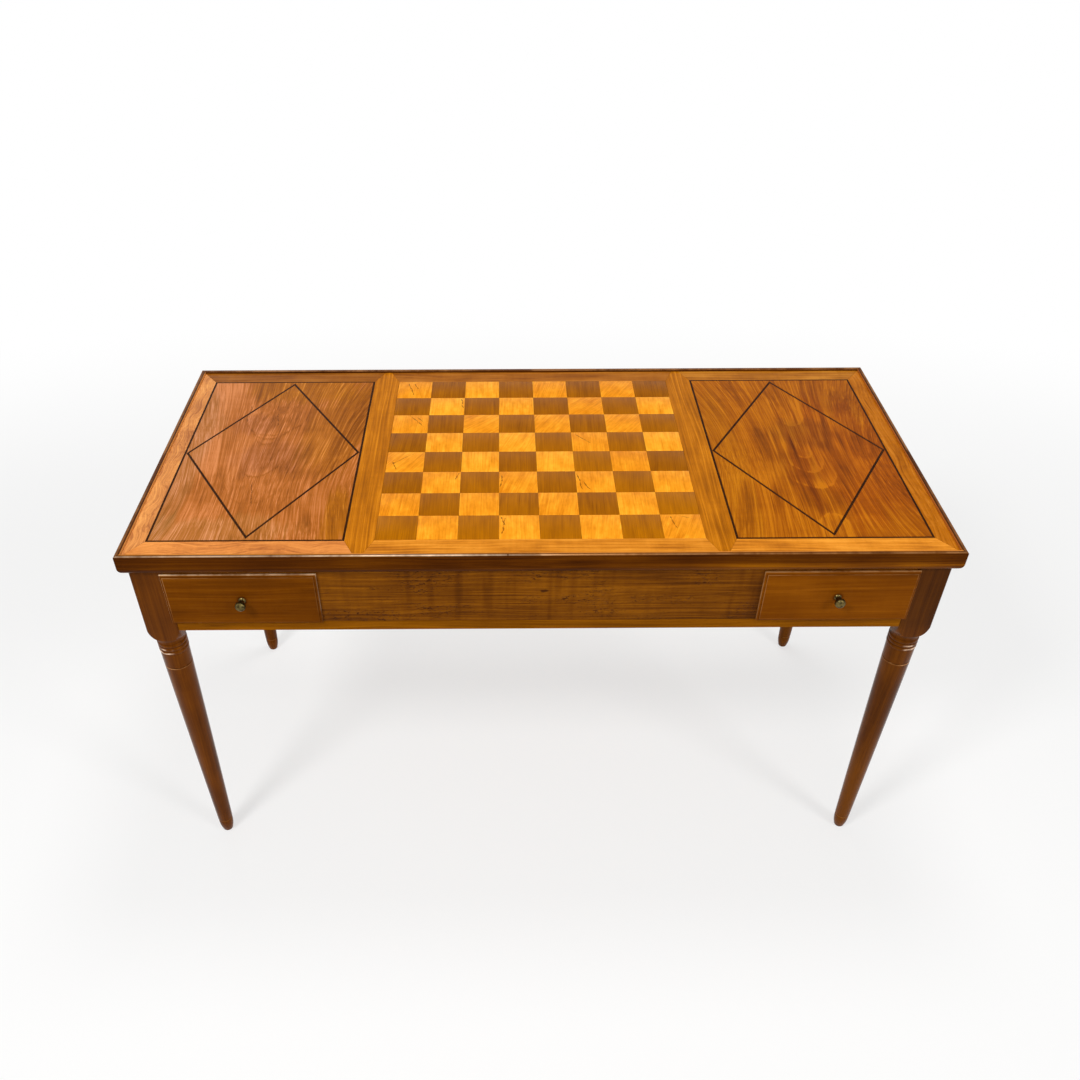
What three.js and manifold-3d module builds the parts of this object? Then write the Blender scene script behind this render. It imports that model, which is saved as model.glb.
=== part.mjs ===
// A tric trac table: a lift-off top with an inlaid chessboard, over a well for tric trac.
// Four turned legs carry friezes that are tenoned into their square blocks, and the front frieze
// holds two lipped drawers. Millimetres, X to the right, Y to the back, Z up from the floor.

import * as THREE from "three";
import { mergeVertices } from "three/addons/utils/BufferGeometryUtils.js";
import Module from "manifold-3d";

const wasm = await Module();
wasm.setup();

// Overall sizes.
const tableWidth = 1280;
const tableDepth = 600;
const tableHeight = 695;

// Hairline left between two pieces that are glued or laid together.
const seam = 0.3;

// Top: a core board, its inlaid face, a baize underneath and a moulded edge with a raised lip.
const lipHeight = 3.5;
const lipWidth = 8.4;
const lipOuterRound = 2.2;
const lipInnerRound = 1.2;
const mouldingHeight = 35;
const ovoloHeight = 13;
const topOverhang = 11;
const veneer = 2;
const coreThickness = 17;
const baizeThickness = 1.5;
const baizeMargin = 40;

// Inlay of the top: chessboard, stiles with beaks, end fields with stringing, and bands.
const squareRelief = 0.4;
const stileWidth = 47.5;
const endBandWidth = 29;
const longBandWidth = 37;
const centreBandWidth = 37.6;
const beakOffset = 16.5;
const beakWidth = 12.5;
const stringWidth = 3;
const inlayDepth = 1.2;
const lozengeEndMargin = 0.9;
const lozengeSideMargin = 4.5;

// Frieze boards and their tenons in the leg blocks.
const boardThickness = 20;
const apronHeight = 132;
const bottomRailHeight = 18;
const tenonThickness = 9;
const tenonLength = 24;
const tenonShoulder = 5;

// Legs: a square block, a domed shoulder, three rings, a tapered shaft and a toe.
const legBlock = 52;
const blockEase = 1.4;
const domeRise = 10;
const domeHeight = 34;
const neckRadius = 24.2;
const neckWaist = 21.8;
const neckHeight = 10;
const ringRadius = 24.2;
const ringHeight = 6.8;
const ringGroove = 0.9;
const ringWaist = 22.8;
const shaftTopRadius = 23.4;
const shaftSwell = 0.8;
const lineDrop = 31;
const lineWidth = 2.4;
const lineDepth = 1;
const toeHeight = 34;
const toeRadius = 13;
const toeSwell = 1.2;
const footRadius = 9.4;
const toeRound = 2.4;

// Drawers: a lipped front over its opening, a box behind it, and a turned knob.
const drawerOpeningWidth = 228;
const drawerTopStrip = 5;
const drawerLip = 5.5;
const lipPlate = 2;
const edgeRound = 3;
const raisedField = 0.8;
const fieldInset = 1;
const frontThickness = 15;
const lapDepth = 8;
const drawerPlay = 1;
const runGap = 0.4;
const drawerSide = 9;
const drawerBackDrop = 6;
const drawerBackRoom = 88;
const drawerBottom = 5;
const drawerBottomLift = 8;
const drawerGroove = 4;
const pinWidth = 7;
const pinFlare = 1.6;
const knobReach = 20;
const knobRadius = 8.2;
const knobBase = 5.6;
const knobStem = 3.4;
const knobCrown = 5;
const spigotRadius = 2.6;
const spigotLength = 12;

// Well under the top: floor with points, bands with peg holes, end walls, bar and end covers.
const wellRimDrop = 3;
const floorLift = 17;
const floorThickness = 10;
const floorHousing = 6;
const endWallThickness = 14;
const bandThickness = 24;
const barWidth = 22;
const barDrop = 6;
const pointLength = 190;
const pointRelief = 0.6;
const pointGap = 1;
const pegRadius = 2;
const pegDepth = 8;
const coverThickness = 19;
const runnerWidth = 16;
const runnerHeight = 15;

// Counts.
const chessSquares = 8;
const pointsPerSide = 6;
const ringCount = 3;
const drawerTails = 3;
const legSegments = 20;
const knobSegments = 16;
const pegSegments = 6;
const curveSteps = 4;
const mouldingSteps = 6;

// Colours, with roughness and metalness.
const finishes = {
  frieze: { color: 0x8a4f12, roughness: 0.35 },
  leg: { color: 0x6b3510, roughness: 0.3 },
  moulding: { color: 0x6e3812, roughness: 0.28 },
  band: { color: 0xc97a2b, roughness: 0.22 },
  stile: { color: 0xc98a2e, roughness: 0.22 },
  field: { color: 0xb0662c, roughness: 0.22 },
  chess: { color: 0xb9701f, roughness: 0.2 },
  stringing: { color: 0x3a2014, roughness: 0.3 },
  core: { color: 0x9a7444, roughness: 0.7 },
  baize: { color: 0x2f5b37, roughness: 0.95 },
  lining: { color: 0x7c4a1c, roughness: 0.5 },
  floor: { color: 0xa9743a, roughness: 0.45 },
  secondary: { color: 0xb08a57, roughness: 0.75 },
  brass: { color: 0x8d7a3f, roughness: 0.38, metalness: 1 },
};
const materials = Object.fromEntries(
  Object.entries(finishes).map(([key, look]) => [key, new THREE.MeshStandardMaterial(look)]),
);

// Heights worked out from the sizes above.
const faceZ = tableHeight - lipHeight;
const inlayZ = faceZ - veneer;
const coreTopZ = inlayZ - seam;
const coreBottomZ = coreTopZ - coreThickness;
const friezeTop = coreBottomZ - seam;
const mouldingBottom = tableHeight - mouldingHeight;
const apronBottom = friezeTop - apronHeight;
const railTop = apronBottom + bottomRailHeight;
const drawerFaceTop = mouldingBottom - drawerTopStrip;
const openingTop = drawerFaceTop - drawerLip;
const wellRim = friezeTop - wellRimDrop;
const floorUnder = railTop + floorLift;
const floorTop = floorUnder + floorThickness;

// Places in plan.
const rimX = tableWidth / 2 - lipWidth;
const rimY = tableDepth / 2 - lipWidth;
const friezeX = tableWidth / 2 - topOverhang;
const friezeY = tableDepth / 2 - topOverhang;
const blockX = friezeX - legBlock;
const blockY = friezeY - legBlock;
const boardInnerX = friezeX - boardThickness;
const boardInnerY = friezeY - boardThickness;
const legX = friezeX - legBlock / 2;
const legY = friezeY - legBlock / 2;
const openingInner = blockX - drawerOpeningWidth;
const wallInner = openingInner - endWallThickness;
const chessHalf = rimY - centreBandWidth;
const squareSize = (2 * chessHalf) / chessSquares;
const stringInnerX = chessHalf + stileWidth;
const stringOuterX = rimX - endBandWidth;
const stringY = rimY - longBandWidth;
const beakInnerX = chessHalf + beakOffset;
const beakOuterX = beakInnerX + beakWidth;
const drawerFaceY = friezeY + seam + lipPlate + edgeRound + raisedField;
const knobFrontY = drawerFaceY + knobReach;

const root = new THREE.Group();
root.name = "tric_trac_table";
// The knobs stand out past the rim at the front only, so the model moves back by half of that.
const model = new THREE.Group();
model.position.y = Math.max(0, knobFrontY - tableDepth / 2) / 2;
root.add(model);

function addPiece(name, geometry, finish) {
  const piece = new THREE.Mesh(geometry, materials[finish]);
  piece.name = name;
  model.add(piece);
  return piece;
}

// Joining and cutting.
function toSolid(geometry) {
  const bare = geometry.clone();
  bare.deleteAttribute("normal");
  bare.deleteAttribute("uv");
  const merged = mergeVertices(bare);
  const mesh = new wasm.Mesh({
    numProp: 3,
    vertProperties: new Float32Array(merged.attributes.position.array),
    triVerts: new Uint32Array(merged.index.array),
  });
  return new wasm.Manifold(mesh);
}

function toGeometry(solid) {
  const mesh = solid.getMesh();
  const geometry = new THREE.BufferGeometry();
  geometry.setAttribute("position", new THREE.BufferAttribute(mesh.vertProperties, mesh.numProp));
  geometry.setIndex(new THREE.BufferAttribute(mesh.triVerts, 1));
  geometry.computeVertexNormals();
  return geometry;
}

function join(geometries) {
  const solids = geometries.map(toSolid);
  return toGeometry(solids.reduce((whole, next) => whole.add(next)));
}

function cut(geometry, tools) {
  const solids = tools.map(toSolid);
  return toGeometry(solids.reduce((whole, tool) => whole.subtract(tool), toSolid(geometry)));
}

// A box between two corners, given as low and high values along X, Y and Z.
function boxBetween([x0, x1], [y0, y1], [z0, z1]) {
  const geometry = new THREE.BoxGeometry(Math.abs(x1 - x0), Math.abs(y1 - y0), Math.abs(z1 - z0));
  return geometry.translate((x0 + x1) / 2, (y0 + y1) / 2, (z0 + z1) / 2);
}

function toShape(points) {
  return new THREE.Shape(points.map(([x, y]) => new THREE.Vector2(x, y)));
}

// A plan outline raised between two heights.
function raise(shape, z0, z1) {
  const geometry = new THREE.ExtrudeGeometry(shape, { depth: z1 - z0, bevelEnabled: false });
  return geometry.translate(0, 0, z0);
}

// An outline in X and Z, carried along Y between two places.
function carryAlongY(shape, y0, y1) {
  const geometry = new THREE.ExtrudeGeometry(shape, { depth: y1 - y0, bevelEnabled: false });
  return geometry.rotateX(Math.PI / 2).translate(0, y1, 0);
}

// An outline in Y and Z, carried along X between two places.
function carryAlongX(shape, x0, x1) {
  const geometry = new THREE.ExtrudeGeometry(shape, { depth: Math.abs(x1 - x0), bevelEnabled: false });
  return geometry.rotateX(Math.PI / 2).rotateZ(Math.PI / 2).translate(Math.min(x0, x1), 0, 0);
}

// A convex outline with every edge moved inwards by a distance, or outwards by a negative one.
function insetOutline(points, distance) {
  const clockwise = THREE.ShapeUtils.isClockWise(points.map(([x, y]) => ({ x, y })));
  const ring = clockwise ? [...points].reverse() : points;
  const edges = ring.map(([x, y], i) => {
    const [nextX, nextY] = ring[(i + 1) % ring.length];
    const length = Math.hypot(nextX - x, nextY - y);
    const normal = [-(nextY - y) / length, (nextX - x) / length];
    return { normal, offset: normal[0] * x + normal[1] * y + distance };
  });
  return edges.map((edge, i) => {
    const before = edges[(i + edges.length - 1) % edges.length];
    const [a, b] = before.normal;
    const [c, d] = edge.normal;
    const spread = a * d - b * c;
    const x = (before.offset * d - b * edge.offset) / spread;
    const y = (a * edge.offset - before.offset * c) / spread;
    return [x, y];
  });
}

function ringShape(outer, inner) {
  const shape = toShape(outer);
  shape.holes.push(toShape(inner));
  return shape;
}

function rectangle(x0, x1, y0, y1) {
  return [
    [x0, y0],
    [x1, y0],
    [x1, y1],
    [x0, y1],
  ];
}

function revolve(path, segments) {
  const geometry = new THREE.LatheGeometry(path.getPoints(curveSteps), segments);
  return geometry.rotateX(Math.PI / 2);
}

const sides = [
  { word: "left", x: -1 },
  { word: "right", x: 1 },
];
const fronts = [
  { word: "front", y: -1 },
  { word: "back", y: 1 },
];

// Top, core and baize.
function makeCore() {
  const x = rimX - seam;
  const y = rimY - seam;
  addPiece("top_core", boxBetween([-x, x], [-y, y], [coreBottomZ, coreTopZ]), "core");
  const baizeX = blockX - baizeMargin;
  const baizeY = blockY - baizeMargin;
  const baizeZ = [coreBottomZ - seam - baizeThickness, coreBottomZ - seam];
  addPiece("baize", boxBetween([-baizeX, baizeX], [-baizeY, baizeY], baizeZ), "baize");
}

// Section of the edge moulding: inset from the outer face, and height. A lip stands over the
// inlaid face, and an ovolo skirt hangs outside the frieze and locates the top.
function mouldingSection() {
  const skirt = topOverhang - seam;
  const stepZ = coreBottomZ - seam;
  const section = new THREE.Shape();
  section.moveTo(skirt, mouldingBottom);
  section.lineTo(skirt, stepZ);
  section.lineTo(lipWidth, stepZ);
  section.lineTo(lipWidth, tableHeight - lipInnerRound);
  section.absarc(lipWidth - lipInnerRound, tableHeight - lipInnerRound, lipInnerRound, 0, Math.PI / 2);
  section.lineTo(lipOuterRound, tableHeight);
  section.absarc(lipOuterRound, tableHeight - lipOuterRound, lipOuterRound, Math.PI / 2, Math.PI);
  section.lineTo(0, mouldingBottom + ovoloHeight);
  const centreZ = mouldingBottom + ovoloHeight;
  section.absellipse(skirt, centreZ, skirt, ovoloHeight, Math.PI, (3 * Math.PI) / 2);
  return section;
}

// One mitred length: the section runs between two end planes at 45 degrees, then turns to its side.
function mouldingLength(halfAlong, halfAcross, turn) {
  const depth = 1;
  const geometry = new THREE.ExtrudeGeometry(mouldingSection(), {
    depth,
    bevelEnabled: false,
    curveSegments: mouldingSteps,
  });
  const place = geometry.attributes.position;
  for (let i = 0; i < place.count; i += 1) {
    const inset = place.getX(i);
    const height = place.getY(i);
    const end = place.getZ(i) > depth / 2 ? 1 : -1;
    place.setXYZ(i, end * (halfAlong - inset - seam / 2), inset - halfAcross, height);
  }
  return geometry.rotateZ(turn);
}

function makeMouldings() {
  const halfWidth = tableWidth / 2;
  const halfDepth = tableDepth / 2;
  const quarter = Math.PI / 2;
  addPiece("edge_moulding_front", mouldingLength(halfWidth, halfDepth, 0), "moulding");
  addPiece("edge_moulding_right", mouldingLength(halfDepth, halfWidth, quarter), "moulding");
  addPiece("edge_moulding_back", mouldingLength(halfWidth, halfDepth, 2 * quarter), "moulding");
  addPiece("edge_moulding_left", mouldingLength(halfDepth, halfWidth, -quarter), "moulding");
}

// One piece of the inlaid face, a hairline smaller than its outline all round.
function addVeneer(name, outline, finish) {
  const shape = toShape(insetOutline(outline, seam / 2));
  addPiece(name, raise(shape, inlayZ, faceZ), finish);
}

// Bands round the face, mitred at the corners, and stiles whose beaks part the long bands.
function makeBands() {
  const innerX = stringInnerX - stringWidth / 2;
  const outerX = stringOuterX + stringWidth / 2;
  const lineY = stringY + stringWidth / 2;
  for (const { word, y } of fronts) {
    for (const side of sides) {
      const corner = [
        [side.x * innerX, y * lineY],
        [side.x * outerX, y * lineY],
        [side.x * rimX, y * rimY],
        [side.x * beakOuterX, y * rimY],
      ];
      addVeneer(`band_${word}_${side.word}`, corner, "band");
    }
    const centre = [
      [-chessHalf, y * chessHalf],
      [chessHalf, y * chessHalf],
      [beakInnerX, y * rimY],
      [-beakInnerX, y * rimY],
    ];
    addVeneer(`band_${word}_centre`, centre, "band");
  }
  for (const { word, x } of sides) {
    const end = [
      [x * outerX, -lineY],
      [x * rimX, -rimY],
      [x * rimX, rimY],
      [x * outerX, lineY],
    ];
    addVeneer(`band_${word}`, end, "band");
    const stile = [
      [x * chessHalf, -chessHalf],
      [x * beakInnerX, -rimY],
      [x * beakOuterX, -rimY],
      [x * innerX, -lineY],
      [x * innerX, lineY],
      [x * beakOuterX, rimY],
      [x * beakInnerX, rimY],
      [x * chessHalf, chessHalf],
    ];
    addVeneer(`stile_${word}`, stile, "stile");
  }
}

// End field of one side: a figured sheet, a stringing frame round it and a lozenge let into it.
function makeField({ word, x }) {
  const half = stringWidth / 2;
  const low = stringInnerX;
  const high = stringOuterX;
  const frame = rectangle(low, high, -stringY, stringY).map(([px, py]) => [x * px, py]);
  const frameOuter = insetOutline(frame, seam / 2 - half);
  const frameInner = insetOutline(frame, half - seam / 2);
  addPiece(`string_frame_${word}`, raise(ringShape(frameOuter, frameInner), inlayZ, faceZ), "stringing");

  const centreX = (x * (low + high)) / 2;
  const reachX = (high - low) / 2 - half - lozengeEndMargin;
  const reachY = stringY - half - lozengeSideMargin;
  const outer = [
    [centreX + reachX, 0],
    [centreX, reachY],
    [centreX - reachX, 0],
    [centreX, -reachY],
  ];
  const inner = insetOutline(outer, stringWidth);
  const lozengeZ = faceZ - inlayDepth;
  addPiece(`string_lozenge_${word}`, raise(ringShape(outer, inner), lozengeZ, faceZ), "stringing");

  const sheet = raise(toShape(insetOutline(frame, half + seam / 2)), inlayZ, faceZ);
  const grooveShape = ringShape(insetOutline(outer, -seam), insetOutline(inner, seam));
  const groove = raise(grooveShape, lozengeZ - seam, faceZ + veneer);
  addPiece(`field_${word}`, cut(sheet, [groove]), "field");
}

// Chessboard sheet. The dark squares stand a little proud; the back left square is a light one.
function makeChessboard() {
  const half = chessHalf - seam / 2;
  const baseTop = faceZ - squareRelief;
  const parts = [raise(toShape(rectangle(-half, half, -half, half)), inlayZ, baseTop)];
  for (let column = 0; column < chessSquares; column += 1) {
    for (let row = 0; row < chessSquares; row += 1) {
      if ((column + row) % 2 === 0) continue;
      const x = column * squareSize - chessHalf;
      const y = chessHalf - row * squareSize;
      const square = insetOutline(rectangle(x, x + squareSize, y - squareSize, y), seam);
      parts.push(raise(toShape(square), baseTop - squareRelief, faceZ));
    }
  }
  addPiece("chessboard", join(parts), "chess");
}

// Heights of the tenons of a board that spans two heights.
function tenonHeights(z0, z1) {
  return [z0 + tenonShoulder, z1 - tenonShoulder];
}

const fullTenon = tenonHeights(apronBottom, friezeTop);
const longTenons = {
  front: [tenonHeights(openingTop, friezeTop), tenonHeights(apronBottom, railTop)],
  back: [fullTenon],
};

// A tenon on the long side runs along X, one on the short side along Y. Both can be grown by a
// clearance, which gives the mortise.
function longTenon(sideX, sideY, [z0, z1], grow, root0) {
  const middle = friezeY - boardThickness / 2;
  const half = tenonThickness / 2 + grow;
  const end = blockX + tenonLength + grow;
  const y = [sideY * (middle - half), sideY * (middle + half)];
  return boxBetween([sideX * root0, sideX * end], y, [z0 - grow, z1 + grow]);
}

function endTenon(sideX, sideY, [z0, z1], grow, root0) {
  const middle = friezeX - boardThickness / 2;
  const half = tenonThickness / 2 + grow;
  const end = blockY + tenonLength + grow;
  const x = [sideX * (middle - half), sideX * (middle + half)];
  return boxBetween(x, [sideY * root0, sideY * end], [z0 - grow, z1 + grow]);
}

// Adds the tenons at both ends of a long board.
function withLongTenons(board, sideY, heights) {
  const rooted = blockX - tenonLength;
  const tenons = sides.map(({ x }) => longTenon(x, sideY, heights, 0, rooted));
  return join([board, ...tenons]);
}

// Housing in which the edge of the well floor lies.
function floorHousingCut(sideY) {
  const reach = wallInner + floorHousing + seam;
  const z = [floorUnder - seam, floorTop + seam];
  const y = [sideY * (boardInnerY - boardThickness), sideY * (boardInnerY + floorHousing + seam)];
  return boxBetween([-reach, reach], y, z);
}

// The front frieze is one board, notched at both ends for the drawers, over a bottom rail.
function makeFrontFrieze() {
  const end = blockX - seam;
  const low = railTop + seam;
  const outline = [
    [-end, openingTop],
    [-openingInner, openingTop],
    [-openingInner, low],
    [openingInner, low],
    [openingInner, openingTop],
    [end, openingTop],
    [end, friezeTop],
    [-end, friezeTop],
  ];
  const board = carryAlongY(toShape(outline), -friezeY, -boardInnerY);
  const housed = cut(board, [floorHousingCut(-1)]);
  const [upper, lower] = longTenons.front;
  addPiece("frieze_front", withLongTenons(housed, -1, upper), "frieze");
  const rail = boxBetween([-end, end], [-friezeY, -boardInnerY], [apronBottom, railTop]);
  addPiece("rail_front_bottom", withLongTenons(rail, -1, lower), "frieze");
}

function makeBackFrieze() {
  const end = blockX - seam;
  const board = boxBetween([-end, end], [boardInnerY, friezeY], [apronBottom, friezeTop]);
  const housed = cut(board, [floorHousingCut(1)]);
  addPiece("frieze_back", withLongTenons(housed, 1, fullTenon), "frieze");
}

function makeEndFrieze({ word, x }) {
  const end = blockY - seam;
  const board = boxBetween([x * boardInnerX, x * friezeX], [-end, end], [apronBottom, friezeTop]);
  const rooted = blockY - tenonLength;
  const tenons = fronts.map(({ y }) => endTenon(x, y, fullTenon, 0, rooted));
  addPiece(`frieze_${word}`, join([board, ...tenons]), "frieze");
}

// Outline of a turned leg, from the floor to the top of its block, as radius and height.
function legProfile() {
  const cornerRadius = (legBlock / 2) * Math.SQRT2;
  const domeTop = apronBottom + domeRise;
  const neckTop = domeTop - domeHeight;
  const ringsTop = neckTop - neckHeight;
  const shaftTop = ringsTop - ringCount * (ringHeight + ringGroove);
  const profile = new THREE.Path();
  profile.moveTo(0, 0);
  profile.lineTo(footRadius - toeRound, 0);
  profile.quadraticCurveTo(footRadius, 0, footRadius + toeSwell / 2, toeRound * 2);
  profile.quadraticCurveTo(toeRadius + toeSwell / 2, toeHeight / 2, toeRadius, toeHeight - lineWidth);
  profile.lineTo(toeRadius - lineDepth, toeHeight);
  profile.lineTo(toeRadius + lineDepth / 2, toeHeight + lineWidth / 2);
  const lineZ = shaftTop - lineDrop;
  const lineRadius = shaftTopRadius - lineDepth / 2;
  const middleZ = (toeHeight + lineZ) / 2;
  const middleRadius = (toeRadius + lineRadius) / 2 + shaftSwell;
  profile.quadraticCurveTo(middleRadius, middleZ, lineRadius, lineZ - lineWidth / 2);
  profile.lineTo(lineRadius - lineDepth, lineZ);
  profile.lineTo(lineRadius, lineZ + lineWidth / 2);
  profile.lineTo(shaftTopRadius, shaftTop - ringGroove);
  profile.lineTo(ringWaist, shaftTop);
  for (let ring = 0; ring < ringCount; ring += 1) {
    const low = shaftTop + ring * (ringHeight + ringGroove);
    const high = low + ringHeight;
    const bulge = ringRadius - ringWaist;
    profile.absellipse(ringWaist, (low + high) / 2, bulge, ringHeight / 2, -Math.PI / 2, Math.PI / 2);
    profile.lineTo(ringWaist, high + ringGroove);
  }
  profile.quadraticCurveTo(neckWaist, (ringsTop + neckTop) / 2, neckRadius, neckTop - ringGroove);
  profile.lineTo(neckRadius, neckTop);
  const domeReach = cornerRadius - neckRadius;
  profile.absellipse(neckRadius, domeTop, domeReach, domeHeight, -Math.PI / 2, 0);
  profile.lineTo(cornerRadius, friezeTop);
  profile.lineTo(0, friezeTop);
  return profile;
}

// Plan of the block, with its long edges eased.
function blockPlan() {
  const half = legBlock / 2;
  const flat = half - blockEase;
  return [
    [-flat, -half],
    [flat, -half],
    [half, -flat],
    [half, flat],
    [flat, half],
    [-flat, half],
    [-half, flat],
    [-half, -flat],
  ];
}

// A leg is turned below its block, so the turning and the block meet in arcs on the four faces.
function turnedLeg() {
  const turning = toSolid(revolve(legProfile(), legSegments));
  const block = toSolid(raise(toShape(blockPlan()), 0, friezeTop));
  return turning.intersect(block);
}

function makeLegs() {
  const blank = turnedLeg();
  for (const { word, y } of fronts) {
    for (const side of sides) {
      const mortises = longTenons[word].map((z) => longTenon(side.x, y, z, seam, blockX - tenonLength));
      mortises.push(endTenon(side.x, y, fullTenon, seam, blockY - tenonLength));
      const placed = toGeometry(blank.translate([side.x * legX, y * legY, 0]));
      addPiece(`leg_${word}_${side.word}`, cut(placed, mortises), "leg");
    }
  }
}

// Floor board of one half of the well, with the points of both long sides in low relief.
function makeWellFloor({ word, x }) {
  const inner = seam / 2;
  const outer = wallInner + floorHousing;
  const reachY = boardInnerY + floorHousing;
  const parts = [boxBetween([x * inner, x * outer], [-reachY, reachY], [floorUnder, floorTop])];
  const from = barWidth / 2;
  const pitch = (wallInner - from) / pointsPerSide;
  const baseY = boardInnerY - seam - bandThickness - seam;
  for (const front of fronts) {
    for (let i = 0; i < pointsPerSide; i += 1) {
      const near = from + i * pitch + pointGap / 2;
      const far = near + pitch - pointGap;
      const tip = (near + far) / 2;
      const outline = [
        [x * near, front.y * baseY],
        [x * far, front.y * baseY],
        [x * tip, front.y * (baseY - pointLength)],
      ];
      parts.push(raise(toShape(outline), floorTop - pointRelief, floorTop + pointRelief));
    }
  }
  addPiece(`well_floor_${word}`, join(parts), "floor");
}

// Band along a long side of the well, with a peg hole over each point.
function makeWellBand({ word, y }) {
  const end = wallInner - seam;
  const outerY = boardInnerY - seam;
  const innerY = outerY - bandThickness;
  const low = floorTop + pointRelief + seam;
  const band = boxBetween([-end, end], [y * innerY, y * outerY], [low, wellRim]);
  const from = barWidth / 2;
  const pitch = (wallInner - from) / pointsPerSide;
  const holes = [];
  for (const side of sides) {
    for (let i = 0; i < pointsPerSide; i += 1) {
      const hole = new THREE.CylinderGeometry(pegRadius, pegRadius, pegDepth * 2, pegSegments);
      const holeX = side.x * (from + (i + 1 / 2) * pitch);
      const holeY = (y * (innerY + outerY)) / 2;
      holes.push(hole.rotateX(Math.PI / 2).translate(holeX, holeY, wellRim));
    }
  }
  addPiece(`well_band_${word}`, cut(band, holes), "lining");
}

function makeBar() {
  const half = barWidth / 2 - seam;
  const reach = boardInnerY - bandThickness - 2 * seam;
  const z = [floorTop + seam, wellRim - barDrop];
  addPiece("well_bar", boxBetween([-half, half], [-reach, reach], z), "lining");
}

// End wall of the well. Its inner face is grooved for the floor, and it guides the drawer.
function makeEndWall({ word, x }) {
  const grooveEnd = wallInner + floorHousing + seam;
  const outline = [
    [x * wallInner, railTop - runnerHeight],
    [x * openingInner, railTop - runnerHeight],
    [x * openingInner, wellRim],
    [x * wallInner, wellRim],
    [x * wallInner, floorTop + seam],
    [x * grooveEnd, floorTop + seam],
    [x * grooveEnd, floorUnder - seam],
    [x * wallInner, floorUnder - seam],
  ];
  const reach = boardInnerY - seam;
  addPiece(`well_end_${word}`, carryAlongY(toShape(outline), -reach, reach), "lining");
}

// Board over a drawer compartment, notched round the two leg blocks.
function makeEndCover({ word, x }) {
  const inner = openingInner + seam;
  const outer = boardInnerX - seam;
  const reach = boardInnerY - seam;
  const notchX = blockX - seam;
  const notchY = blockY - seam;
  const outline = [
    [x * inner, -reach],
    [x * notchX, -reach],
    [x * notchX, -notchY],
    [x * outer, -notchY],
    [x * outer, notchY],
    [x * notchX, notchY],
    [x * notchX, reach],
    [x * inner, reach],
  ];
  addPiece(`end_cover_${word}`, raise(toShape(outline), wellRim - coverThickness, wellRim), "lining");
}

// Two runners carry each drawer between the bottom rail and the back frieze.
function makeRunners({ word, x }) {
  const z = [railTop - runnerHeight, railTop];
  const reach = boardInnerY - seam;
  const places = {
    inner: openingInner + seam,
    outer: blockX - seam - runnerWidth,
  };
  for (const [place, start] of Object.entries(places)) {
    const across = [x * start, x * (start + runnerWidth)];
    addPiece(`runner_${word}_${place}`, boxBetween(across, [-reach, reach], z), "secondary");
  }
}

// Values shared by the pieces of a drawer.
const boxInner = openingInner + drawerPlay;
const boxOuter = blockX - drawerPlay;
const boxLow = railTop + runGap;
const boxHigh = openingTop - drawerPlay;
const frontBackY = friezeY - frontThickness;
const boxBackY = drawerBackRoom - boardInnerY;
const bottomLow = boxLow + drawerBottomLift;
const bottomTop = bottomLow + drawerBottom;
const backLow = bottomTop + seam;
const backHigh = boxHigh - drawerBackDrop;

// Pins of a dovetailed corner: wide at the inner face of the board that carries them and narrow at
// their far end, with a half pin at the top and at the bottom. They run from one X to another, and
// a clearance grows them into the slots of the drawer side.
function dovetailPins([x0, x1], innerY, outerY, [low, high], grow) {
  const pitch = (high - low) / drawerTails;
  const outward = Math.sign(outerY - innerY);
  const pins = [];
  for (let i = 0; i <= drawerTails; i += 1) {
    const middle = low + i * pitch;
    const narrow = pinWidth / 2 + grow;
    const wide = narrow + pinFlare;
    const outline = [
      [innerY - outward * grow, Math.max(low - grow, middle - wide)],
      [outerY + outward * grow, Math.max(low - grow, middle - narrow)],
      [outerY + outward * grow, Math.min(high + grow, middle + narrow)],
      [innerY - outward * grow, Math.min(high + grow, middle + wide)],
    ];
    pins.push(carryAlongX(toShape(outline), x0, x1));
  }
  return pins;
}

function frontPins(across, grow) {
  return dovetailPins(across, -frontBackY, -(frontBackY + lapDepth), [boxLow, boxHigh], grow);
}

function backPins(across, grow) {
  return dovetailPins(across, -boxBackY - drawerSide, -boxBackY, [backLow, backHigh], grow);
}

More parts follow.
